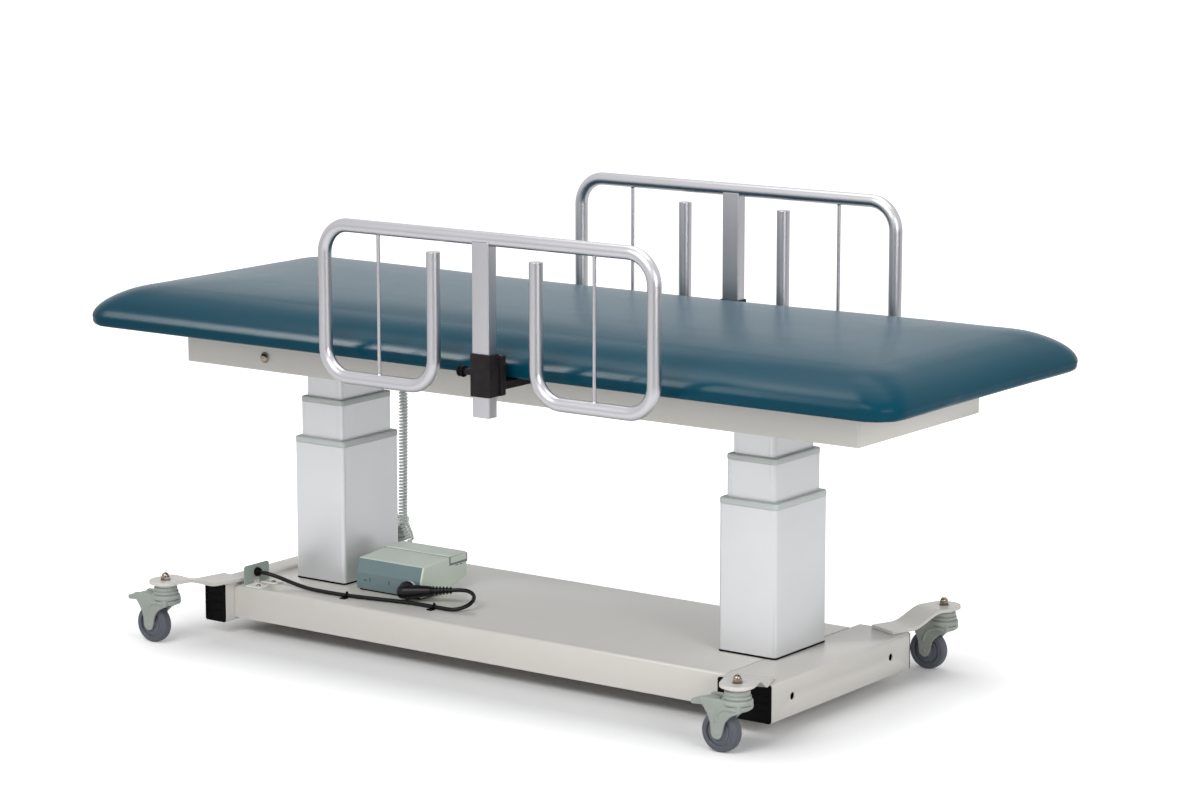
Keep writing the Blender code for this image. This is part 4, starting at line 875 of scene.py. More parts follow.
def spread_out(mesh, values):
    """The values of a mesh's points evened out along its edges, as firm foam spreads a pull."""
    ends = numpy.array([edge.vertices[:] for edge in mesh.edges])
    count = numpy.bincount(ends.ravel(), minlength=len(values))
    for _ in range(SWELL_ROUNDS):
        total = numpy.bincount(ends[:, 0], values[ends[:, 1]], len(values))
        total += numpy.bincount(ends[:, 1], values[ends[:, 0]], len(values))
        values = 0.5 * values + 0.5 * total / count
    return values


def swollen(mesh):
    """A short cloth run with air pressure inside, its underside pinned to the board."""
    bench = shown("cushion_bench", mesh)
    pinned = bench.vertex_groups.new(name="board")
    underside = TOP_LOW.z + 0.004
    pinned.add([v.index for v in mesh.vertices if v.co.z < underside], 1.0, "REPLACE")
    before = [(v.co.copy(), v.normal.copy()) for v in mesh.vertices]
    cloth = bench.modifiers.new("cloth", "CLOTH")
    cloth.settings.quality = 4
    cloth.settings.mass = 0.3
    cloth.settings.tension_stiffness = 30.0
    cloth.settings.compression_stiffness = 30.0
    cloth.settings.bending_stiffness = 4.0
    cloth.settings.use_pressure = True
    cloth.settings.uniform_pressure_force = 4.0
    cloth.settings.effector_weights.gravity = 0.0
    cloth.settings.vertex_group_mass = "board"
    cloth.collision_settings.use_collision = False
    cloth.point_cache.frame_start = 1
    cloth.point_cache.frame_end = CLOTH_FRAMES
    for number in range(1, CLOTH_FRAMES + 1):
        scene.frame_set(number)
    result = taken_off(bench)
    scene.frame_set(1)
    swell = numpy.array([(v.co - start).dot(outward) for v, (start, outward) in zip(result.vertices, before)])
    swell = spread_out(result, swell.clip(0.0, CUSHION_SWELL))
    for vertex, (start, outward), amount in zip(result.vertices, before, swell):
        vertex.co = start + outward * float(amount)
    return result


def fitted(mesh):
    """The cover drawn out to the room that its solid holds, and a little past its right end."""
    grow_left = (TOP_LOW.x + 0.0005) / min(v.co.x for v in mesh.vertices)
    grow_right = (TOP_HIGH.x + CUSHION_RIGHT_EXTRA) / max(v.co.x for v in mesh.vertices)
    grow_y = (TOP_HIGH.y - 0.0005) / max(v.co.y for v in mesh.vertices)
    height = max(v.co.z for v in mesh.vertices)
    rise = (CUSHION_PEAK - TOP_LOW.z) / (height - TOP_LOW.z)
    for vertex in mesh.vertices:
        vertex.co.x *= grow_right if vertex.co.x > 0 else grow_left
        vertex.co.y *= grow_y
        vertex.co.z = TOP_LOW.z + max(vertex.co.z - TOP_LOW.z, 0.0) * rise
    return mesh


def pucker(mesh):
    """The line where the vinyl folds over its board, and small pulls where it is drawn under."""
    for vertex in mesh.vertices:
        height = vertex.co.z - TOP_LOW.z
        if height > PUCKER_HEIGHT or height < 0.0005:
            continue
        along = Vector((vertex.co.x * 9, vertex.co.y * 9, 0.0))
        fade = (1 - height / PUCKER_HEIGHT) * min(1.0, height / PUCKER_START)
        pull = fade * (0.0010 * abs(noise.noise(along)) + 0.0005 * abs(noise.noise(along * 2.7)))
        wander = BOARD_LINE_HEIGHT + 0.0015 * noise.noise(along * 0.5)
        line = math.exp(-((height - wander) / 0.0028) ** 2) * (0.75 + 0.5 * noise.noise(along * 0.7))
        inset_x = max(0.0, abs(vertex.co.x) - TOP_HIGH.x + CUSHION_CORNER)
        inset_y = max(0.0, abs(vertex.co.y) - TOP_HIGH.y + CUSHION_CORNER)
        outward = Vector((math.copysign(inset_x, vertex.co.x), math.copysign(inset_y, vertex.co.y), 0.0))
        if outward.length > 0.0:
            vertex.co -= outward.normalized() * (pull + BOARD_LINE_DEPTH * max(line, 0.0))
    return mesh


def make_cushion():
    held_in = CUSHION_SWELL
    mesh = as_mesh(cushion_form(held_in))
    mesh = swollen(settled(mesh, ("REMESH", {"mode": "VOXEL", "voxel_size": CUSHION_VOXEL})))
    mesh = settled(mesh, ("SMOOTH", {"factor": 0.5, "iterations": 5}),
                   ("SUBSURF", {"levels": 1, "render_levels": 1}))
    mesh = pucker(fitted(mesh))
    top = piece("padded_top", mesh, VINYL, "tabletop", ["cushion"], 60)


# Skirt, pan and cross tubes: folded and welded sheet with eased edges

def make_painted_frame():
    for node, body, radius in (("skirt_frame", "tabletop", 0.0012), ("base_pan", "base", 0.0010),
                               ("left_cross_tube", "base", 0.0008), ("right_cross_tube", "base", 0.0008)):
        mesh = eased(as_mesh(solid_copy(node)), radius, 2, 35)
        piece(node + "_sheet", mesh, PAINT, body, [node])
    for corner in CORNERS:
        mesh = eased(as_mesh(solid_copy(corner + "_tube_plug")), 0.0010, 3)
        piece(corner + "_end_cap", mesh, BLACK_PLASTIC, "base", [corner + "_tube_plug"])
    low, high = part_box("skirt_frame")
    bolt = as_mesh(spun([(0.0, -0.002), (0.0112, -0.002), (0.0112, 0.0008), (0.0104, 0.0014),
                         (0.0096, 0.0014), (0.0094, 0.0030), (0.0082, 0.0052), (0.0058, 0.0068),
                         (0.0030, 0.0075), (0.0, 0.0077)], 28))
    bolt_x = -0.568
    bolt_z = 0.565
    spots = [((bolt_x, low.y, bolt_z), FRONT, ALONG), ((bolt_x, high.y, bolt_z), BACK, ALONG)]
    copied_piece("skirt_bolts", spots, bolt, CHROME, "tabletop", 40)


def make_cap_ribs():
    """Low ribs across the pocket of each black end cap."""
    for end, length in (("left", 0.034), ("right", 0.092)):
        rib = eased(as_mesh(block((-length / 2, -0.0007, -0.0012), (length / 2, 0.0007, 0.0005))), 0.0003, 2)
        spots = []
        for row, side in SIDES:
            low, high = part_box(row + "_" + end + "_tube_plug")
            face = low.y if side < 0 else high.y
            for share in (0.30, 0.50, 0.70):
                place = ((low.x + high.x) / 2, face - side * 0.0010, low.z + (high.z - low.z) * share)
                spots.append((place, (0, side, 0), ALONG))
        copied_piece(end + "_cap_ribs", spots, rib, BLACK_PLASTIC, "base", 30)


# Caster arms: flat bar with a soft joggle

def make_caster_arms():
    facts = {"left": (11.0, 0.168, 0.105), "right": (20.0, 0.150, 0.098)}
    ramp_start = -0.102
    ramp_length = 0.072
    for corner in CORNERS:
        row, end = corner.split("_")
        side = -1 if row == "near" else 1
        splay, reach, seat = facts[end]
        half = ARM_WIDTH / 2
        low = seat + SEAT_GAP
        high = ARM_TOP - ARM_THICKNESS
        stations = [(-reach, half, low)]
        for step in range(25):
            share = step / 24
            ease = soft_step(share)
            stations.append((ramp_start + ramp_length * share, half, low + (high - low) * ease))
        for step in range(17):
            angle = math.pi / 2 * step / 16
            stations.append((half * math.sin(angle), max(half * math.cos(angle), 0.0005), high))
        rings = []
        for along, across, z in stations:
            rings.append([(-across, along, z), (across, along, z), (across, along, z + ARM_THICKNESS),
                          (-across, along, z + ARM_THICKNESS)])
        bar = skin(rings)
        outward = 1 if end == "right" else -1
        turned(bar, -outward * splay, "Z")
        if side < 0:
            bmesh.ops.scale(bar, vec=(1, -1, 1), verts=bar.verts)
            bmesh.ops.recalc_face_normals(bar, faces=bar.faces)
        moved(bar, CASTER_X[end], side * CASTER_Y)
        mesh = eased(as_mesh(bar), 0.0012, 3, 40)
        piece(corner + "_arm_bar", mesh, PAINT, "base", [corner + "_caster_arm"])


# Casters: dome nut, moulded fork, wheel and brake pedal

def dome_nut():
    """A washer, a hexagon and a dome, on the stud's end."""
    base = ARM_TOP + SEAT_GAP
    stem = spun([(0.0, base - 0.010), (0.0048, base - 0.010), (0.0048, base), (0.0100, base),
                 (0.0100, base + 0.0012), (0.0, base + 0.0012)], 32)
    hexagon = spun([(0.0, base + 0.0010), (0.0084, base + 0.0010), (0.0092, base + 0.0018),
                    (0.0092, base + 0.0062), (0.0082, base + 0.0072), (0.0, base + 0.0072)], 6)
    profile = [(0.0, base + 0.0060), (0.0078, base + 0.0060)]
    for step in range(9):
        angle = math.pi / 2 * step / 8
        profile.append((0.0078 * math.cos(angle), base + 0.0070 + 0.0080 * math.sin(angle)))
    return as_mesh(joined(stem, hexagon, spun(profile, 32)))


def cheek_outside(z):
    """How far out the fork's cheek stands at a height."""
    rise = min(max((z - 0.045) / 0.050, 0.0), 1.0)
    return 0.0182 + 0.0051 * soft_step(rise)


def fork_form():
    """Two flowing cheeks melted onto a core, each with a raised rib, under a stack of swivel rings."""
    outline = smooth_route([
        (0.0165, 0, 0.1000), (0.0198, 0, 0.0880), (0.0178, 0, 0.0800), (0.0105, 0, 0.0768),
        (-0.0026, 0, 0.0700), (-0.0142, 0, 0.0577), (-0.0193, 0, 0.0420), (-0.0205, 0, 0.0375),
        (-0.0239, 0, 0.0294), (-0.0320, 0, 0.0260), (-0.0401, 0, 0.0294), (-0.0435, 0, 0.0375),
        (-0.0447, 0, 0.0495), (-0.0475, 0, 0.0627), (-0.0516, 0, 0.0736), (-0.0567, 0, 0.0820),
        (-0.0625, 0, 0.0904), (-0.0659, 0, 0.0970), (-0.0620, 0, 0.0998)], 0.0030)
    shapes = [spun([(0.0, FORK_TOP - 0.040), (0.0222, FORK_TOP - 0.040), (0.0222, FORK_TOP - 0.012),
                    (0.0, FORK_TOP - 0.012)], 32)]
    for side in (-1, 1):
        inner = [(p.x, side * CHEEK_INSIDE, p.z) for p in outline]
        outer = [(p.x, side * cheek_outside(p.z), p.z) for p in outline]
        shapes.append(skin([inner, outer]))
        rib = smooth_route([(0.012, 0, 0.0845), (-0.0125, 0, 0.0838), (-0.020, 0, 0.0805),
                            (-0.0258, 0, 0.0756), (-0.030, 0, 0.068), (-0.0339, 0, 0.057)], 0.002)
        shapes.append(round_bar([(p.x, side * (cheek_outside(p.z) + 0.0002), p.z) for p in rib], 0.0020, 8))
    pin = CHEEK_INSIDE + 0.003
    axle = spun([(0.0, -pin), (0.0040, -pin), (0.0040, pin), (0.0, pin)], 16)
    shapes.append(moved(turned(axle, 90, "X"), -WHEEL_TRAIL, 0, WHEEL_RADIUS))
    cheeks = melted(joined(*shapes), 0.0009, 4)
    drops = [(0.0, 0.0425), (0.0195, 0.0425), (0.0238, 0.0405), (0.0250, 0.0370), (0.0250, 0.0332),
             (0.0228, 0.0322), (0.0228, 0.0310), (0.0272, 0.0298), (0.0280, 0.0280), (0.0280, 0.0235),
             (0.0270, 0.0220), (0.0230, 0.0212), (0.0230, 0.0200), (0.0250, 0.0190), (0.0250, 0.0150),
             (0.0222, 0.0142), (0.0222, 0.0130), (0.0232, 0.0122), (0.0230, 0.0078), (0.0218, 0.0060),
             (0.0, 0.0060)]
    rings = spun([(radius, FORK_TOP - drop) for radius, drop in drops], 56)
    return as_mesh(joined(as_bmesh(cheeks), rings))


def wheel_ring(side):
    """One side of a wheel's section, mirrored and spun about the axle."""
    profile = side + [(radius, -y) for radius, y in side[::-1]]
    return as_mesh(turned(spun(profile, 64, looped=True), 90, "X"))


def wheel_tyre():
    half = WHEEL_WIDTH / 2
    side = [(0.0250, 0.62 * half), (0.0256, 0.90 * half), (0.0268, 0.98 * half), (0.0288, half),
            (0.0296, 0.93 * half), (0.0318, 0.93 * half), (0.0335, 0.90 * half)]
    for step in range(7):
        angle = math.pi / 2 * (1 - step / 6)
        side.append((0.0335 + 0.0040 * math.cos(angle), 0.30 * half + 0.60 * half * math.sin(angle)))
    return wheel_ring(side)


def wheel_hub():
    half = WHEEL_WIDTH / 2
    side = [(0.0045, 0.97 * half), (0.0105, 0.97 * half), (0.0112, 0.90 * half), (0.0118, 0.72 * half),
            (0.0165, 0.70 * half), (0.0172, 0.80 * half), (0.0196, 0.80 * half), (0.0203, 0.66 * half),
            (0.0236, 0.62 * half), (0.0249, 0.60 * half)]
    return wheel_ring(side)


def pedal_form():
    """Brake lever between the cheeks, its toe stepped down from a thicker heel; places are from the pivot."""
    half = CHEEK_INSIDE - SEAT_GAP
    stations = [
        (0.011, 0.0005, 0.0045, 0.90),
        (0.004, 0.0005, 0.0060, 1.00),
        (-0.006, 0.0000, 0.0085, 1.00),
        (-0.013, -0.0010, 0.0088, 1.00),
        (-0.0155, -0.0002, 0.0068, 1.00),
        (-0.024, -0.0020, 0.0058, 1.00),
        (-0.033, -0.0036, 0.0050, 1.00),
        (-0.0375, -0.0042, 0.0046, 0.97),
        (-0.0425, -0.0056, 0.0034, 0.80),
    ]
    rings = []
    for x, z, thick, width in stations:
        outline = rounded_rect(2 * half * width, 2 * thick, min(0.0022, 0.9 * thick), 4)
        rings.append([(x, y, z + h) for y, h in outline])
    return settled(as_mesh(skin(rings)), ("SUBSURF", {"levels": 1, "render_levels": 1}))


def make_casters():
    nut = dome_nut()
    fork = fork_form()
    cup_drops = [(0.0056, 0.0062), (0.0190, 0.0062), (0.0205, 0.0050), (0.0205, 0.0018), (0.0190, 0.0002),
                 (0.0056, 0.0002)]
    cup = as_mesh(spun([(radius, FORK_TOP - drop) for radius, drop in cup_drops], 48, looped=True))
    tyre = wheel_tyre()
    hub = wheel_hub()
    pedal = pedal_form()
    rivet = as_mesh(spun([(0.0, -0.001), (0.0044, -0.001), (0.0044, 0.0004), (0.0036, 0.0010),
                          (0.0018, 0.0013), (0.0, 0.0014)], 20))
    for corner in CORNERS:
        row, end = corner.split("_")
        x = CASTER_X[end]
        y = CASTER_Y if row == "far" else -CASTER_Y
        wheel_x = x - WHEEL_TRAIL
        fork_body = corner + "_fork"
        wheel = corner + "_wheel"
        piece(corner + "_cap_nut", shifted(nut, x, y), CHROME, "base", [corner + "_dome_nut"], 35)
        piece(corner + "_fork_moulding", shifted(fork, x, y), CASTER_PLASTIC, fork_body,
              [corner + "_fork"], 50)
        piece(corner + "_swivel_cup", shifted(cup, x, y), SWIVEL_RING, fork_body, (), 35)
        reach = cheek_outside(WHEEL_RADIUS)
        spots = [((wheel_x, y + side * reach, WHEEL_RADIUS), (0, side, 0), ALONG) for side in (-1, 1)]
        copied_piece(corner + "_axle_rivets", spots, rivet, CASTER_PLASTIC, fork_body, 40)
        piece(corner + "_tyre", shifted(tyre, wheel_x, y, WHEEL_RADIUS), TREAD, wheel, [wheel], 30)
        piece(corner + "_hub", shifted(hub, wheel_x, y, WHEEL_RADIUS), HUB, wheel, (), 30)
        piece(corner + "_pedal_lever", shifted(pedal, x + PEDAL_PIVOT.x, y, PEDAL_PIVOT.z), CASTER_PLASTIC,
              corner + "_brake_pedal", [corner + "_brake_pedal"], 50)


# Lift columns: profiles and collars with smooth corners

def grooved_rect(length, width, corner, grooved):
    """A rounded rectangle with a shallow groove beside each corner, where the stage has one."""
    plain = rounded_rect(length, width, corner, 8)
    if not grooved:
        return plain
    outline = []
    for i, (x, y) in enumerate(plain):
        first = i % 9 == 0
        last = i % 9 == 8
        if not (first or last):
            outline.append((x, y))
            continue
        on_end = abs(abs(x) - length / 2) < 1e-6
        steps = [GROOVE_FROM_CORNER - GROOVE_WIDTH / 2, GROOVE_FROM_CORNER - GROOVE_WIDTH / 4,
                 GROOVE_FROM_CORNER + GROOVE_WIDTH / 4, GROOVE_FROM_CORNER + GROOVE_WIDTH / 2]
        depths = [0.0, GROOVE_DEPTH, GROOVE_DEPTH, 0.0]
        cut = []
        for along, depth in zip(steps, depths):
            if on_end:
                cut.append((x - math.copysign(depth, x), y - math.copysign(along, y)))
            else:
                cut.append((x - math.copysign(along, x), y - math.copysign(depth, y)))
        outline.extend(cut[::-1] + [(x, y)] if first else [(x, y)] + cut)
    return outline


def sleeve_mesh(node, corner, grooved):
    ease = 0.0006
    low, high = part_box(node)
    middle = (low + high) / 2
    size = high - low
    rings = []
    for inset, z in ((ease, low.z), (0.0, low.z + ease), (0.0, high.z - ease), (ease, high.z),
                     (PROFILE_WALL, high.z), (PROFILE_WALL, low.z)):
        outline = grooved_rect(size.x - 2 * inset, size.y - 2 * inset, max(corner - inset, 0.001), grooved)
        rings.append(at_height(outline, z, middle.x, middle.y))
    return as_mesh(skin(rings, looped=True))


def collar_mesh(node, opening_node, height, corner, opening_corner):
    low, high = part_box(node)
    inner_low, inner_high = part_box(opening_node)
    middle = (low + high) / 2
    size = high - low
    opening = inner_high - inner_low
    seat = high.z - height
    rings = []
    lip = [(0.0004, seat), (0.0, seat + 0.0006), (0.0, high.z - 0.0026), (0.0006, high.z - 0.0010),
           (0.0022, high.z)]
    for inset, z in lip:
        outline = rounded_rect(size.x - 2 * inset, size.y - 2 * inset, corner - inset, 10)
        rings.append(at_height(outline, z, middle.x, middle.y))
    gap = 0.0004
    hole = rounded_rect(opening.x + 2 * gap, opening.y + 2 * gap, opening_corner + gap, 10)
    for z in (high.z, seat):
        rings.append(at_height(hole, z, middle.x, middle.y))
    return as_mesh(skin(rings, looped=True))


def make_columns():
    for end in ENDS:
        stages = (("outer", OUTER_CORNER, "base", False), ("middle", MIDDLE_CORNER, "middle_" + end, True),
                  ("inner", INNER_CORNER, "tabletop", True))
        for stage, corner, body, grooved in stages:
            node = end + "_" + stage + "_profile"
            mesh = sleeve_mesh(node, corner, grooved)
            piece(node + "_tube", mesh, COLUMN_SILVER, body, [node], 30)
        outer = end + "_outer_collar"
        mesh = collar_mesh(outer, end + "_middle_profile", 0.0112, OUTER_CORNER + 0.0008, MIDDLE_CORNER)
        piece(outer + "_ring", mesh, COLLAR_PLASTIC, "base", [outer], 30)
        middle = end + "_middle_collar"
        mesh = collar_mesh(middle, end + "_inner_profile", 0.0100, MIDDLE_CORNER + 0.0008, INNER_CORNER)
        piece(middle + "_ring", mesh, COLLAR_PLASTIC, "middle_" + end, [middle], 30)


# Side rails: one bent tube, two thin rods and a post, with a weld at each joint

def post_mesh(y, low, top):
    outer = rounded_rect(*POST_SIZE, POST_CORNER, 6)
    inner = rounded_rect(POST_SIZE[0] - 2 * POST_WALL, POST_SIZE[1] - 2 * POST_WALL, 0.0012, 6)
    depth = top - RAIL_TUBE_RADIUS - POST_WALL
    rings = []
    for outline, z in ((inner, depth), (inner, low), (outer, low), (outer, top - 0.006)):
        rings.append(at_height(outline, z, RAIL_X, y))
    return eased(as_mesh(skin(rings)), 0.0005, 2, 50)


def make_rails():
    for row, side in SIDES:
        low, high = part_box(row + "_side_rail")
        top = high.z - RAIL_TUBE_RADIUS
        bottom = top - RAIL_HEIGHT
        y = side * RAIL_PLANE
        upright_top = top - RAIL_UPRIGHT_GAP
        corners = [(-RAIL_UPRIGHT, upright_top), (-RAIL_UPRIGHT, bottom), (-RAIL_HALF_LENGTH, bottom),
                   (-RAIL_HALF_LENGTH, top), (RAIL_HALF_LENGTH, top), (RAIL_HALF_LENGTH, bottom),
                   (RAIL_UPRIGHT, bottom), (RAIL_UPRIGHT, upright_top)]
        path = bent_path([Vector((RAIL_X + x, y, z)) for x, z in corners], RAIL_BEND, 14)
        body = row + "_rail"
        tube = eased(as_mesh(round_bar(path, RAIL_TUBE_RADIUS, 40)), 0.0010, 3, 50)
        piece(row + "_rail_tube", tube, RAIL_SILVER, body, [row + "_side_rail"])
        rods = []
        for way in (-1, 1):
            x = RAIL_X + way * (RAIL_HALF_LENGTH + RAIL_UPRIGHT) / 2
            rods.append(round_bar([(x, y, bottom), (x, y, top)], RAIL_ROD_RADIUS, 20))
            for z, lean in ((bottom + RAIL_TUBE_RADIUS, 1), (top - RAIL_TUBE_RADIUS, -1)):
                bead = [(x, y, z - lean * 0.0016), (x, y, z + lean * 0.0002), (x, y, z + lean * 0.0016)]
                rods.append(round_bar(bead, [0.0052, 0.0046, RAIL_ROD_RADIUS], 16))
        piece(row + "_rail_rods", as_mesh(joined(*rods)), RAIL_SILVER, body, (), 40)
        piece(row + "_rail_post", post_mesh(y, low.z, top), RAIL_SILVER, body)


# Sockets and plungers

def socket_form(low, high, side):
    """Sleeve, rear block, arm bar to the skirt and plunger barrel, about the rail post's axis."""
    half_x = high.x - RAIL_X - SOCKET_BLOCK_EXTRA
    half_y = -low.y - RAIL_PLANE if side < 0 else high.y - RAIL_PLANE
    reach = RAIL_PLANE + high.y if side < 0 else RAIL_PLANE - low.y
    outer = rounded_rect(2 * half_x, 2 * half_y, SOCKET_CORNER, 6)
    inner = rounded_rect(2 * (half_x - SOCKET_WALL), 2 * (half_y - SOCKET_WALL), POST_CORNER, 6)
    sleeve = skin([at_height(outer, low.z), at_height(outer, high.z), at_height(inner, high.z),
                   at_height(inner, low.z)], looped=True)
    back = half_y + SOCKET_BLOCK_DEPTH
    half_block = half_x + SOCKET_BLOCK_EXTRA
    middle_z = (low.z + high.z - 0.004) / 2
    face = rounded_rect(2 * half_block, high.z - low.z - 0.004, 0.004, 5)
    rear = skin([[(x, y, middle_z + z) for x, z in face] for y in (half_y - 0.001, back)])
    bar = block((-SOCKET_BAR_WIDTH / 2, back - 0.001, SOCKET_BAR_TOP - SOCKET_BAR_THICKNESS),
                (SOCKET_BAR_WIDTH / 2, reach, SOCKET_BAR_TOP))
    whole = joined(sleeve, rear, bar)
    if side > 0:
        turned(whole, 180, "Z")
    wall = half_x - 0.001
    end = half_x + SOCKET_BARREL_LENGTH
    radius = SOCKET_BARREL_RADIUS
    barrel = spun([(0.0045, wall), (radius + 0.0012, wall), (radius + 0.0012, wall + 0.0035),
                   (radius, wall + 0.0042), (radius, end), (0.0045, end)], 32, looped=True)
    turned(barrel, -90, "Y")
    return joined(whole, moved(barrel, 0, 0, SOCKET_BARREL_Z))


def make_sockets():
    for row, side in SIDES:
        low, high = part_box(row + "_rail_socket")
        form = moved(socket_form(low, high, side), RAIL_X, side * RAIL_PLANE)
        mesh = eased(as_mesh(form), 0.0009, 3, 40)
        piece(row + "_socket_block", mesh, SOCKET_BLACK, "tabletop", [row + "_rail_socket"])
        screw_y = side * (RAIL_PLANE - SOCKET_SCREW_INSET)
        spots = [((high.x, screw_y, low.z + height), ALONG, UP) for height in (0.016, 0.058)]
        copied_piece(row + "_socket_screws", spots, screw_head(), SOCKET_BLACK, "tabletop",
                     35, SOCKET_SCREW_RADIUS)
        low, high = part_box(row + "_plunger")
        middle = (low + high) / 2
        reach = [(0.0, 0.0), (0.0040, 0.0), (0.0040, 0.0226), (0.0066, 0.0229), (0.0072, 0.0240),
                 (0.0100, 0.0250), (0.0110, 0.0272), (0.0106, 0.0296), (0.0084, 0.0312), (0.0080, 0.0328),
                 (0.0098, 0.0342), (0.0102, 0.0362), (0.0088, 0.0382), (0.0040, 0.0391), (0.0, 0.0391)]
        knob = moved(turned(spun(reach, 28), -90, "Y"), high.x, middle.y, middle.z)
        plunger = row + "_plunger"
        piece(row + "_pull_knob", as_mesh(knob), BLACK_PLASTIC, plunger, [plunger], 35)


def screw_head():
    """Pan head of unit radius with a round drive recess."""
    return as_mesh(spun([(0.0, -0.3), (1.0, -0.3), (1.0, 0.22), (0.88, 0.44), (0.60, 0.56), (0.40, 0.58),
                         (0.36, 0.26), (0.0, 0.22)], 18))


# Control box: pale shell, blue-grey front, raised rear lid, inlet, and slots, lid seam and underside gap
# painted in as dark shade

def make_control_box():
    left, right = BOX_X
    front, rear = BOX_Y
    low = BOX_BASE
    shoulder = low + BOX_SHOULDER
    lid_line = shoulder + 0.0055
    top = low + BOX_REAR_HEIGHT
    shell = [(front, low + 0.003), (front, low + BOX_FRONT_HEIGHT), (front + 0.009, shoulder),
             (BOX_LID_Y, lid_line), (rear - 0.0006, lid_line + 0.0010), (rear - 0.0006, low + 0.024),
             (rear - 0.070, low + 0.003)]
    mesh = eased(as_mesh(slab_along_x(shell, left + 0.0006, right - 0.0006)), 0.0034, 5, 12)
    piece("box_shell", mesh, BOX_SHELL, "base", ["control_box"])
    lid = [(BOX_LID_Y, lid_line - 0.0160), (BOX_LID_Y, lid_line + 0.0028), (rear, top),
           (rear, lid_line - 0.0160)]
    mesh = eased(as_mesh(slab_along_x(lid, left, right)), 0.0050, 6, 12)
    piece("box_lid", mesh, BOX_SHELL, "base")
    # Painted shade: a grey slab under the lid's edge, darker than the shell, stands for the shadow in the
    # seam between lid and shell.
    gap = [(BOX_LID_Y - 0.0006, lid_line - 0.0168), (BOX_LID_Y - 0.0006, lid_line + 0.0004),
           (rear - 0.0003, lid_line + 0.0004), (rear - 0.0003, lid_line - 0.0168)]
    piece("box_lid_gap", as_mesh(slab_along_x(gap, left + 0.0003, right - 0.0003)), BUTTON_GREY_AND_SEAM_SHADE, "base",
          (), 30)
    face = [(front - 0.0004, low + 0.0040), (front - 0.0004, low + BOX_FRONT_HEIGHT),
            (front + 0.0084, shoulder - 0.0012), (front + 0.0110, shoulder - 0.0016),
            (front + 0.0030, low + BOX_FRONT_HEIGHT - 0.0006), (front + 0.0030, low + 0.0040)]
    mesh = eased(as_mesh(slab_along_x(face, left + 0.0022, right - 0.0034)), 0.0007, 3, 8)
    piece("box_front_panel", mesh, BOX_FRONT, "base")
    # Painted shade: a dark slab under the shell's lower edge stands for the shadow in the gap between the box
    # and the pan.
    underside_shade = block((left + 0.006, front + 0.004, low), (right - 0.006, rear - 0.072, low + 0.004))
    piece("box_plinth", eased(as_mesh(underside_shade), 0.0006, 2), SLOT_DARK, "base")
    # Painted shade: each slot is a thin dark slab on the shell's face, its colour standing for the shade
    # inside the opening.
    slot = eased(as_mesh(block((-0.0042, -0.0008, -0.0010), (0.0042, 0.0008, 0.0002))), 0.0004, 2)
    wall = front - 0.0005
    spots = [((-0.401, wall, low + 0.024), FRONT, UP), ((-0.353, wall, low + 0.024), FRONT, UP),
             ((-0.413, wall, low + 0.022), FRONT, ALONG)]
    for inward in (0.020, 0.034):
        spots.append(((right - 0.0005, rear - inward, lid_line - 0.0190), ALONG, BACK))
    copied_piece("box_slots", spots, slot, SLOT_DARK, "base", 30)
    collar = spun([(0.0, -0.002), (0.0172, -0.002), (0.0176, 0.0010), (0.0170, 0.0036), (0.0158, 0.0045),
                   (0.0, 0.0045)], 40)
    moved(turned(collar, 90, "X"), *INLET)
    piece("inlet_collar", as_mesh(collar), INLET_PLASTIC, "base", (), 35)
    boss = spun([(0.0, -0.003), (0.0078, -0.003), (0.0078, 0.0012), (0.0066, 0.0020), (0.0060, 0.0086),
                 (0.0050, 0.0098), (0.0, 0.0098)], 28)
    moved(turned(boss, -90, "X"), *CURLY_FOOT)
    piece("cord_boss", as_mesh(boss), BOX_SHELL, "base", (), 35)


# Lead fittings: plug with a ribbed tail, gland in its bracket, and tie mounts

def make_plug():
    head = spun([(0.0, 0.0), (0.0174, 0.0), (0.0180, 0.0006), (0.0180, 0.0080), (0.0170, 0.0094),
                 (0.0150, 0.0098), (0.0, 0.0098)], 48)
    turned(head, 90, "X")
    moved(head, INLET.x, PLUG_Y, INLET.z)
    def on_tail(distance):
        return PLUG_TAIL_START + PLUG_HEADING * distance

    length = PLUG_TAIL.length
    elbow = smooth_route([(INLET.x, PLUG_Y - 0.006, INLET.z), (INLET.x, PLUG_Y - 0.013, INLET.z),
                          PLUG_TAIL_START + Vector((0.003, 0.001, 0.0002)), on_tail(0.014),
                          on_tail(0.45 * length), on_tail(0.60 * length)], 0.003)
    last = len(elbow) - 1
    radii = [0.0140 - 0.0050 * (i / last) ** 2.5 for i in range(last + 1)]
    body = melted(joined(head, round_bar(elbow, radii, 24)), 0.0009, 3)
    piece("plug_body", body, LEAD_BLACK, "base", ["lead_plug"], 50)
    ribs_from = on_tail(0.56 * length)
    ribs_to = on_tail(0.97 * length)
    core = round_bar([ribs_from - PLUG_HEADING * 0.006, ribs_from, ribs_to, PLUG_TAIL_START + PLUG_TAIL],
                     [0.0074, 0.0064, 0.0048, 0.0046], 24)
    piece("strain_relief_core", as_mesh(core), LEAD_BLACK, "base", (), 40)
    ring = as_mesh(spun([(0.55, -0.17), (0.94, -0.14), (1.0, -0.08), (1.0, 0.08), (0.94, 0.14),
                         (0.55, 0.17)], 24, looped=True))
    path = [ribs_from.lerp(ribs_to, step / 8) for step in range(9)]
    ribs = ribs_on(path, ring, 7, 0.0100, 0.0072, LEAD_BLACK)
    piece("strain_relief_ribs", ribs, LEAD_BLACK, "base", (), 40)


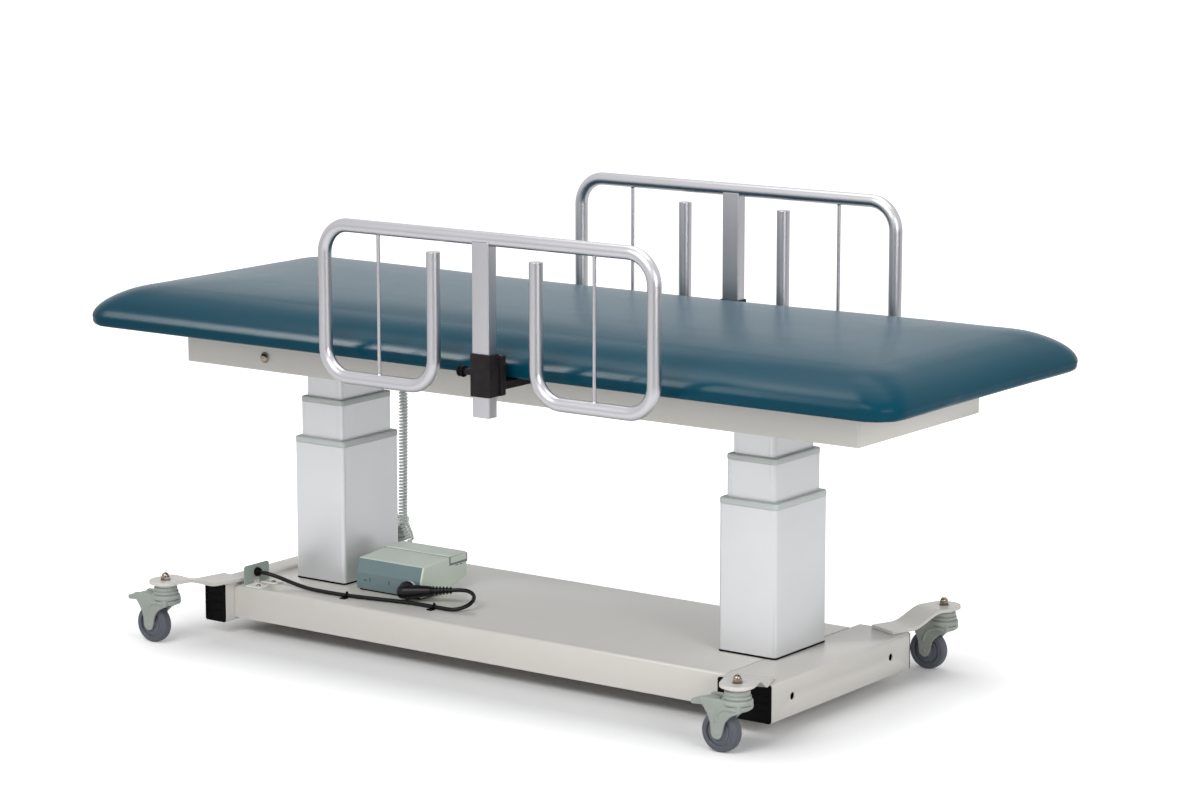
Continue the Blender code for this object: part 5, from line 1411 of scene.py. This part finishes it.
def make_bracket():
    low = PAN_TOP + SEAT_GAP
    sheet = 0.002
    half = 0.037
    tall = 0.040
    notch = 0.012
    foot_wide = 0.028
    inner = half - foot_wide
    outline = [(half, low), (inner, low), (inner, low + notch), (-inner, low + notch), (-inner, low),
               (-half, low)]
    radius = 0.006
    for start, centre in ((180, -half + radius), (90, half - radius)):
        for step in range(7):
            angle = math.radians(start - 15 * step)
            z = low + tall - radius + radius * math.sin(angle)
            outline.append((centre + radius * math.cos(angle), z))
    plate = slab_along_x([(BRACKET_Y + y, z) for y, z in outline], BRACKET_X, BRACKET_X + sheet)
    mesh = eased(as_mesh(plate), 0.0005, 2, 30)
    piece("bracket_plate", mesh, BRACKET_PAINT, "base", ["lead_bracket"])
    feet = []
    spots = []
    foot_long = 0.041
    for side in (-1, 1):
        middle = BRACKET_Y + side * (half - foot_wide / 2)
        tip = rounded_rect(foot_long, foot_wide, 0.006, 6)
        centre = BRACKET_X + foot_long / 2
        feet.append(skin([at_height(tip, z, centre, middle) for z in (low, low + sheet)]))
        spots.append(((BRACKET_X + 0.026, middle, low + sheet), UP, ALONG))
    mesh = eased(as_mesh(joined(*feet)), 0.0005, 2, 30)
    piece("bracket_feet", mesh, CREAM, "base")
    copied_piece("bracket_screws", spots, screw_head(), CHROME, "base", 35, BRACKET_SCREW_RADIUS)


def make_gland():
    low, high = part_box("lead_gland")
    y = (low.y + high.y) / 2
    z = (low.z + high.z) / 2
    long = high.x - low.x
    stem = spun([(0.0042, 0.0), (0.0062, 0.0), (0.0065, 0.0006), (0.0065, long - 0.014),
                 (0.0042, long - 0.014)], 28, looped=True)
    nut = spun([(0.0050, long - 0.0165), (0.0085, long - 0.0165), (0.0092, long - 0.0157),
                (0.0092, long - 0.0108), (0.0085, long - 0.0100), (0.0050, long - 0.0100)], 6, looped=True)
    back = spun([(0.0050, 0.0004), (0.0088, 0.0004), (0.0092, 0.0010), (0.0092, 0.0040), (0.0088, 0.0046),
                 (0.0050, 0.0046)], 6, looped=True)
    dome = spun([(0.0046, long - 0.0110), (0.0086, long - 0.0110), (0.0086, long - 0.0060),
                 (0.0074, long - 0.0022), (0.0056, long - 0.0004), (0.0046, long)], 28, looped=True)
    form = moved(turned(joined(stem, nut, back, dome), 90, "Y"), low.x, y, z)
    mesh = eased(as_mesh(form), 0.0003, 2, 40)
    piece("gland_body", mesh, BLACK_PLASTIC, "base", ["lead_gland"])
    flute = eased(as_mesh(block((-0.0024, -0.0006, -0.0012), (0.0024, 0.0006, 0.0004))), 0.0003, 2)
    spots = []
    for step in range(12):
        angle = math.radians(30 * step)
        out = Vector((0.0, math.cos(angle), math.sin(angle)))
        spots.append((Vector((low.x + long - 0.0084, y, z)) + 0.0087 * out, out, ALONG))
    copied_piece("gland_flutes", spots, flute, BLACK_PLASTIC, "base", 30)


def make_tie_mounts(route):
    """A strap round the lead, its head, and a pad on the pan beside it."""
    floor = -LEAD_RADIUS - SEAT_GAP
    strap = spun([(0.0041, -0.0019), (0.0051, -0.0019), (0.0054, -0.0015), (0.0054, 0.0015),
                  (0.0051, 0.0019), (0.0041, 0.0019)], 28, looped=True)
    turned(strap, 90, "Y")
    head = block((-0.0030, -0.0095, -0.0030), (0.0030, -0.0046, 0.0016))
    pad = block((-0.0062, -0.0170, floor), (0.0062, -0.0046, floor + 0.0022))
    stub = block((-0.0017, -0.0016, 0.0046), (0.0017, 0.0022, 0.0078))
    mount = eased(as_mesh(joined(strap, head, pad, stub)), 0.0005, 2, 40)
    spots = []
    for target in TIE_MOUNTS_X:
        k = min(range(6, len(route) - 6), key=lambda i: abs(route[i].x - target))
        ahead = (route[k - 1] - route[k + 1]).normalized()
        spots.append((route[k], UP, ahead))
    copied_piece("tie_mounts", spots, mount, BLACK_PLASTIC, "base", 30)


# Hand control on the far side of the skirt

def make_hand_control():
    low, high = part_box("hand_control")
    x = (low.x + high.x) / 2
    y = (low.y + high.y) / 2
    wide = high.x - low.x
    deep = high.y - low.y
    boss = 0.012
    bottom = low.z + boss
    tall = high.z - bottom
    rings = []
    for share, width, depth in ((0.0, 0.70, 0.72), (0.015, 0.78, 0.84), (0.05, 0.83, 0.94), (0.15, 0.86, 1.0),
                                (0.45, 0.92, 1.0), (0.75, 0.99, 1.0), (0.90, 1.0, 1.0), (0.965, 0.98, 0.94),
                                (0.99, 0.92, 0.84), (1.0, 0.84, 0.72)):
        outline = rounded_rect(wide * width, deep * depth, 0.007, 6)
        rings.append(at_height(outline, bottom + tall * share, x, y))
    pockets = []
    buttons = {}
    for name in ("up_button", "down_button"):
        button_low, button_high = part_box(name)
        middle = (button_low + button_high) / 2
        radius = (button_high.x - button_low.x) / 2
        buttons[name] = (middle, radius, button_high.y)
        hole = radius + 0.0005
        pocket = spun([(0.0, -0.0056), (hole, -0.0056), (hole, 0.010), (0.0, 0.010)], 36)
        pockets.append(moved(turned(pocket, -90, "X"), middle.x, high.y, middle.z))
    body = settled(as_mesh(skin(rings)), ("SUBSURF", {"levels": 1, "render_levels": 1}))
    body = cut_out(body, joined(*pockets))
    piece("handset_body", body, BOX_SHELL, "tabletop", ["hand_control"], 40)
    relief = spun([(0.0, bottom + 0.001), (0.0062, bottom + 0.001), (0.0058, bottom - 0.004),
                   (0.0042, low.z), (0.0, low.z)], 28)
    piece("handset_relief", as_mesh(moved(relief, x, y)), BOX_SHELL, "tabletop", (), 40)
    ring = as_mesh(spun([(0.70, -0.16), (1.0, -0.10), (1.0, 0.10), (0.70, 0.16)], 24, looped=True))
    neck = Vector((x, y, bottom - 0.002))
    path = [neck.lerp(Vector((x, y, low.z + 0.0015)), step / 4) for step in range(5)]
    ribs = ribs_on(path, ring, 4, 0.0064, 0.0050, BOX_SHELL)
    piece("handset_relief_ribs", ribs, BOX_SHELL, "tabletop", (), 40)
    strap_z = (bottom + 0.018, bottom + 0.032)
    rings = []
    for grow, z in ((0.0004, strap_z[0]), (0.0020, strap_z[0]), (0.0020, strap_z[1]), (0.0004, strap_z[1])):
        rings.append(at_height(rounded_rect(wide * 0.92 + 2 * grow, deep + 2 * grow, 0.008, 6), z, x, y))
    strap = eased(as_mesh(skin(rings, looped=True)), 0.0004, 2)
    piece("handset_holder", strap, BLACK_PLASTIC, "tabletop")
    for name, way in (("up_button", 1), ("down_button", -1)):
        middle, radius, face = buttons[name]
        stand = 0.0016
        cap = spun([(0.0, -0.0030), (radius, -0.0030), (radius, stand - 0.0006), (radius - 0.0006, stand),
                    (0.6 * radius, stand + 0.0003), (0.0, stand + 0.0004)], 36)
        arrow = skin([[(0.0036, way * -0.0024, z), (0.0, way * 0.0034, z), (-0.0036, way * -0.0024, z)]
                      for z in (stand, stand + 0.0008)])
        bmesh.ops.recalc_face_normals(arrow, faces=arrow.faces)
        form = turned(joined(cap, arrow), -90, "X")
        bmesh.ops.scale(form, vec=(1, 1, -1), verts=form.verts)
        bmesh.ops.recalc_face_normals(form, faces=form.faces)
        moved(form, middle.x, face - 0.0020, middle.z)
        piece(name + "_cap", as_mesh(form), BUTTON_GREY_AND_SEAM_SHADE, name, [name], 35)


# Nodes of the frame that keep their solid, inside the columns

def dress_solids():
    finishes = {"_actuator_base": BLACK_PLASTIC, "_actuator_sleeve": STEEL, "_actuator_rod": STEEL}
    for end in ENDS:
        for node, finish in finishes.items():
            nodes[end + node].data.materials.clear()
            nodes[end + node].data.materials.append(finish)


# Floor, light and camera

FLOOR_SHADE_HALF = (0.62, 0.28, 0.0)
FLOOR_GLOW_RUN = (0.02, 0.42)
CARD_RADIUS = 3.00
CARD_THICKNESS = 0.05
CARD_HEIGHT = 0.80


def looked_at(tree):
    """One for what the camera sees straight, in a gloss or through glass."""
    rays = add(tree, "LightPath").outputs
    mirrored = calc(tree, "MAXIMUM", rays["Is Glossy Ray"], rays["Is Transmission Ray"])
    return calc(tree, "MAXIMUM", rays["Is Camera Ray"], mirrored)


def make_floor():
    floor = shown("studio_floor", as_mesh(block((-40, -40, -0.02), (40, 40, 0.0))))
    material, tree, shader = new_finish("pale_floor", Roughness=0.9, Specular_IOR_Level=0.0)
    shader.inputs["Base Color"].default_value = (0.90, 0.90, 0.90, 1.0)
    beyond = object_space(tree)
    steps = (("ABSOLUTE", None), ("SUBTRACT", FLOOR_SHADE_HALF), ("MAXIMUM", (0.0, 0.0, 0.0)))
    for operation, value in steps:
        inputs = {0: beyond} if value is None else {0: beyond, 1: value}
        beyond = add(tree, "VectorMath", inputs, operation=operation).outputs["Vector"]
    far = add(tree, "VectorMath", {0: beyond}, operation="LENGTH").outputs["Value"]
    straight = add(tree, "LightPath").outputs["Is Camera Ray"]
    most = ramp(tree, straight, 0.0, 1.0, 0.20, 0.75)
    strength = ramp(tree, far, *FLOOR_GLOW_RUN, 0.0, most)
    glow = add(tree, "Emission", {"Color": (1.0, 1.0, 1.0, 1.0), "Strength": strength})
    seen = add(tree, "AddShader", {0: shader.outputs[0], 1: glow.outputs[0]})
    chosen = add(tree, "MixShader", {0: looked_at(tree), 1: shader.outputs[0], 2: seen.outputs[0]})
    tree.links.new(chosen.outputs[0], tree.nodes["Material Output"].inputs["Surface"])
    floor.data.materials.append(material)


def lamp(name, place, aim, size, power):
    data = bpy.data.lights.new(name, "AREA")
    data.shape = "RECTANGLE"
    data.size, data.size_y = size
    data.energy = power
    obj = shown(name, data)
    obj.location = place
    obj.rotation_euler = (Vector(place) - Vector(aim)).to_track_quat("Z", "Y").to_euler()
    obj.visible_camera = False
    return obj


def make_light():
    world = bpy.data.worlds.new("studio")
    world.use_nodes = True
    scene.world = world
    tree = world.node_tree
    strength = ramp(tree, looked_at(tree), 0.0, 1.0, 0.52, 1.0)
    tree.links.new(strength, tree.nodes["Background"].inputs["Strength"])
    tree.nodes["Background"].inputs["Color"].default_value = (1.0, 1.0, 1.0, 1.0)
    lamp("overhead_softbox", (0.2, 0.4, 3.4), (0.0, 0.0, 0.5), (3.2, 2.2), 40)
    lamp("front_softbox", (0.3, -3.6, 3.2), (0.0, -0.2, 0.3), (2.6, 1.6), 90)
    lamp("right_softbox", (3.6, -1.6, 1.4), (0.2, 0.0, 0.4), (1.4, 1.4), 36)
    edge_light = lamp("edge_strip", (-2.55, -2.8, 2.2), (-2.55, -0.35, 0.64), (1.5, 2.1), 620)
    crest_light = lamp("crest_strip", (-1.15, -0.85, 3.0), (0.5, -0.33, 0.66), (1.1, 1.3), 128)
    lit = bpy.data.collections.new("vinyl_only")
    lit.objects.link(bpy.data.objects["padded_top"])
    for strip in (edge_light, crest_light):
        strip.visible_diffuse = False
        strip.light_linking.receiver_collection = lit
        first_bounce_only(strip)


def first_bounce_only(strip):
    """The strip shows in what the camera sees, and not in a reflection of that in metal."""
    strip.data.use_nodes = True
    tree = strip.data.node_tree
    first = calc(tree, "LESS_THAN", add(tree, "LightPath").outputs["Ray Depth"], 1.5)
    tree.links.new(first, tree.nodes["Emission"].inputs["Strength"])


def make_card():
    """A low grey card round the front right, seen only in reflections, for the dark side of round metal."""
    angles = [math.radians(-72 + 10 * step) for step in range(11)]
    outer = CARD_RADIUS + CARD_THICKNESS
    outline = [(CARD_RADIUS * math.cos(angle), CARD_RADIUS * math.sin(angle)) for angle in angles]
    outline += [(outer * math.cos(angle), outer * math.sin(angle)) for angle in angles[::-1]]
    card = shown("grey_card", as_mesh(skin([at_height(outline, z) for z in (0.001, CARD_HEIGHT)])))
    material, _, shader = new_finish("grey_card", Roughness=0.9, Specular_IOR_Level=0.0)
    shader.inputs["Base Color"].default_value = (0.25, 0.25, 0.25, 1.0)
    card.data.materials.append(material)
    card.visible_camera = False
    card.visible_diffuse = False
    card.visible_shadow = False


def make_camera():
    data = bpy.data.cameras.new("camera")
    data.lens = CAMERA_LENS
    data.sensor_width = 36.0
    data.clip_end = 100.0
    camera = shown("camera", data)
    camera.location = CAMERA_PLACE
    camera.rotation_euler = CAMERA_AIM.to_track_quat("-Z", "Y").to_euler()
    scene.camera = camera


make_camera()
lead_route = make_lead()
make_curly_cord()
make_cushion()
make_painted_frame()
make_cap_ribs()
make_caster_arms()
make_casters()
make_columns()
make_rails()
make_sockets()
make_control_box()
make_plug()
make_bracket()
make_gland()
make_tie_mounts(lead_route)
make_hand_control()
dress_solids()
make_floor()
make_light()
make_card()
scene.view_settings.view_transform = "Standard"
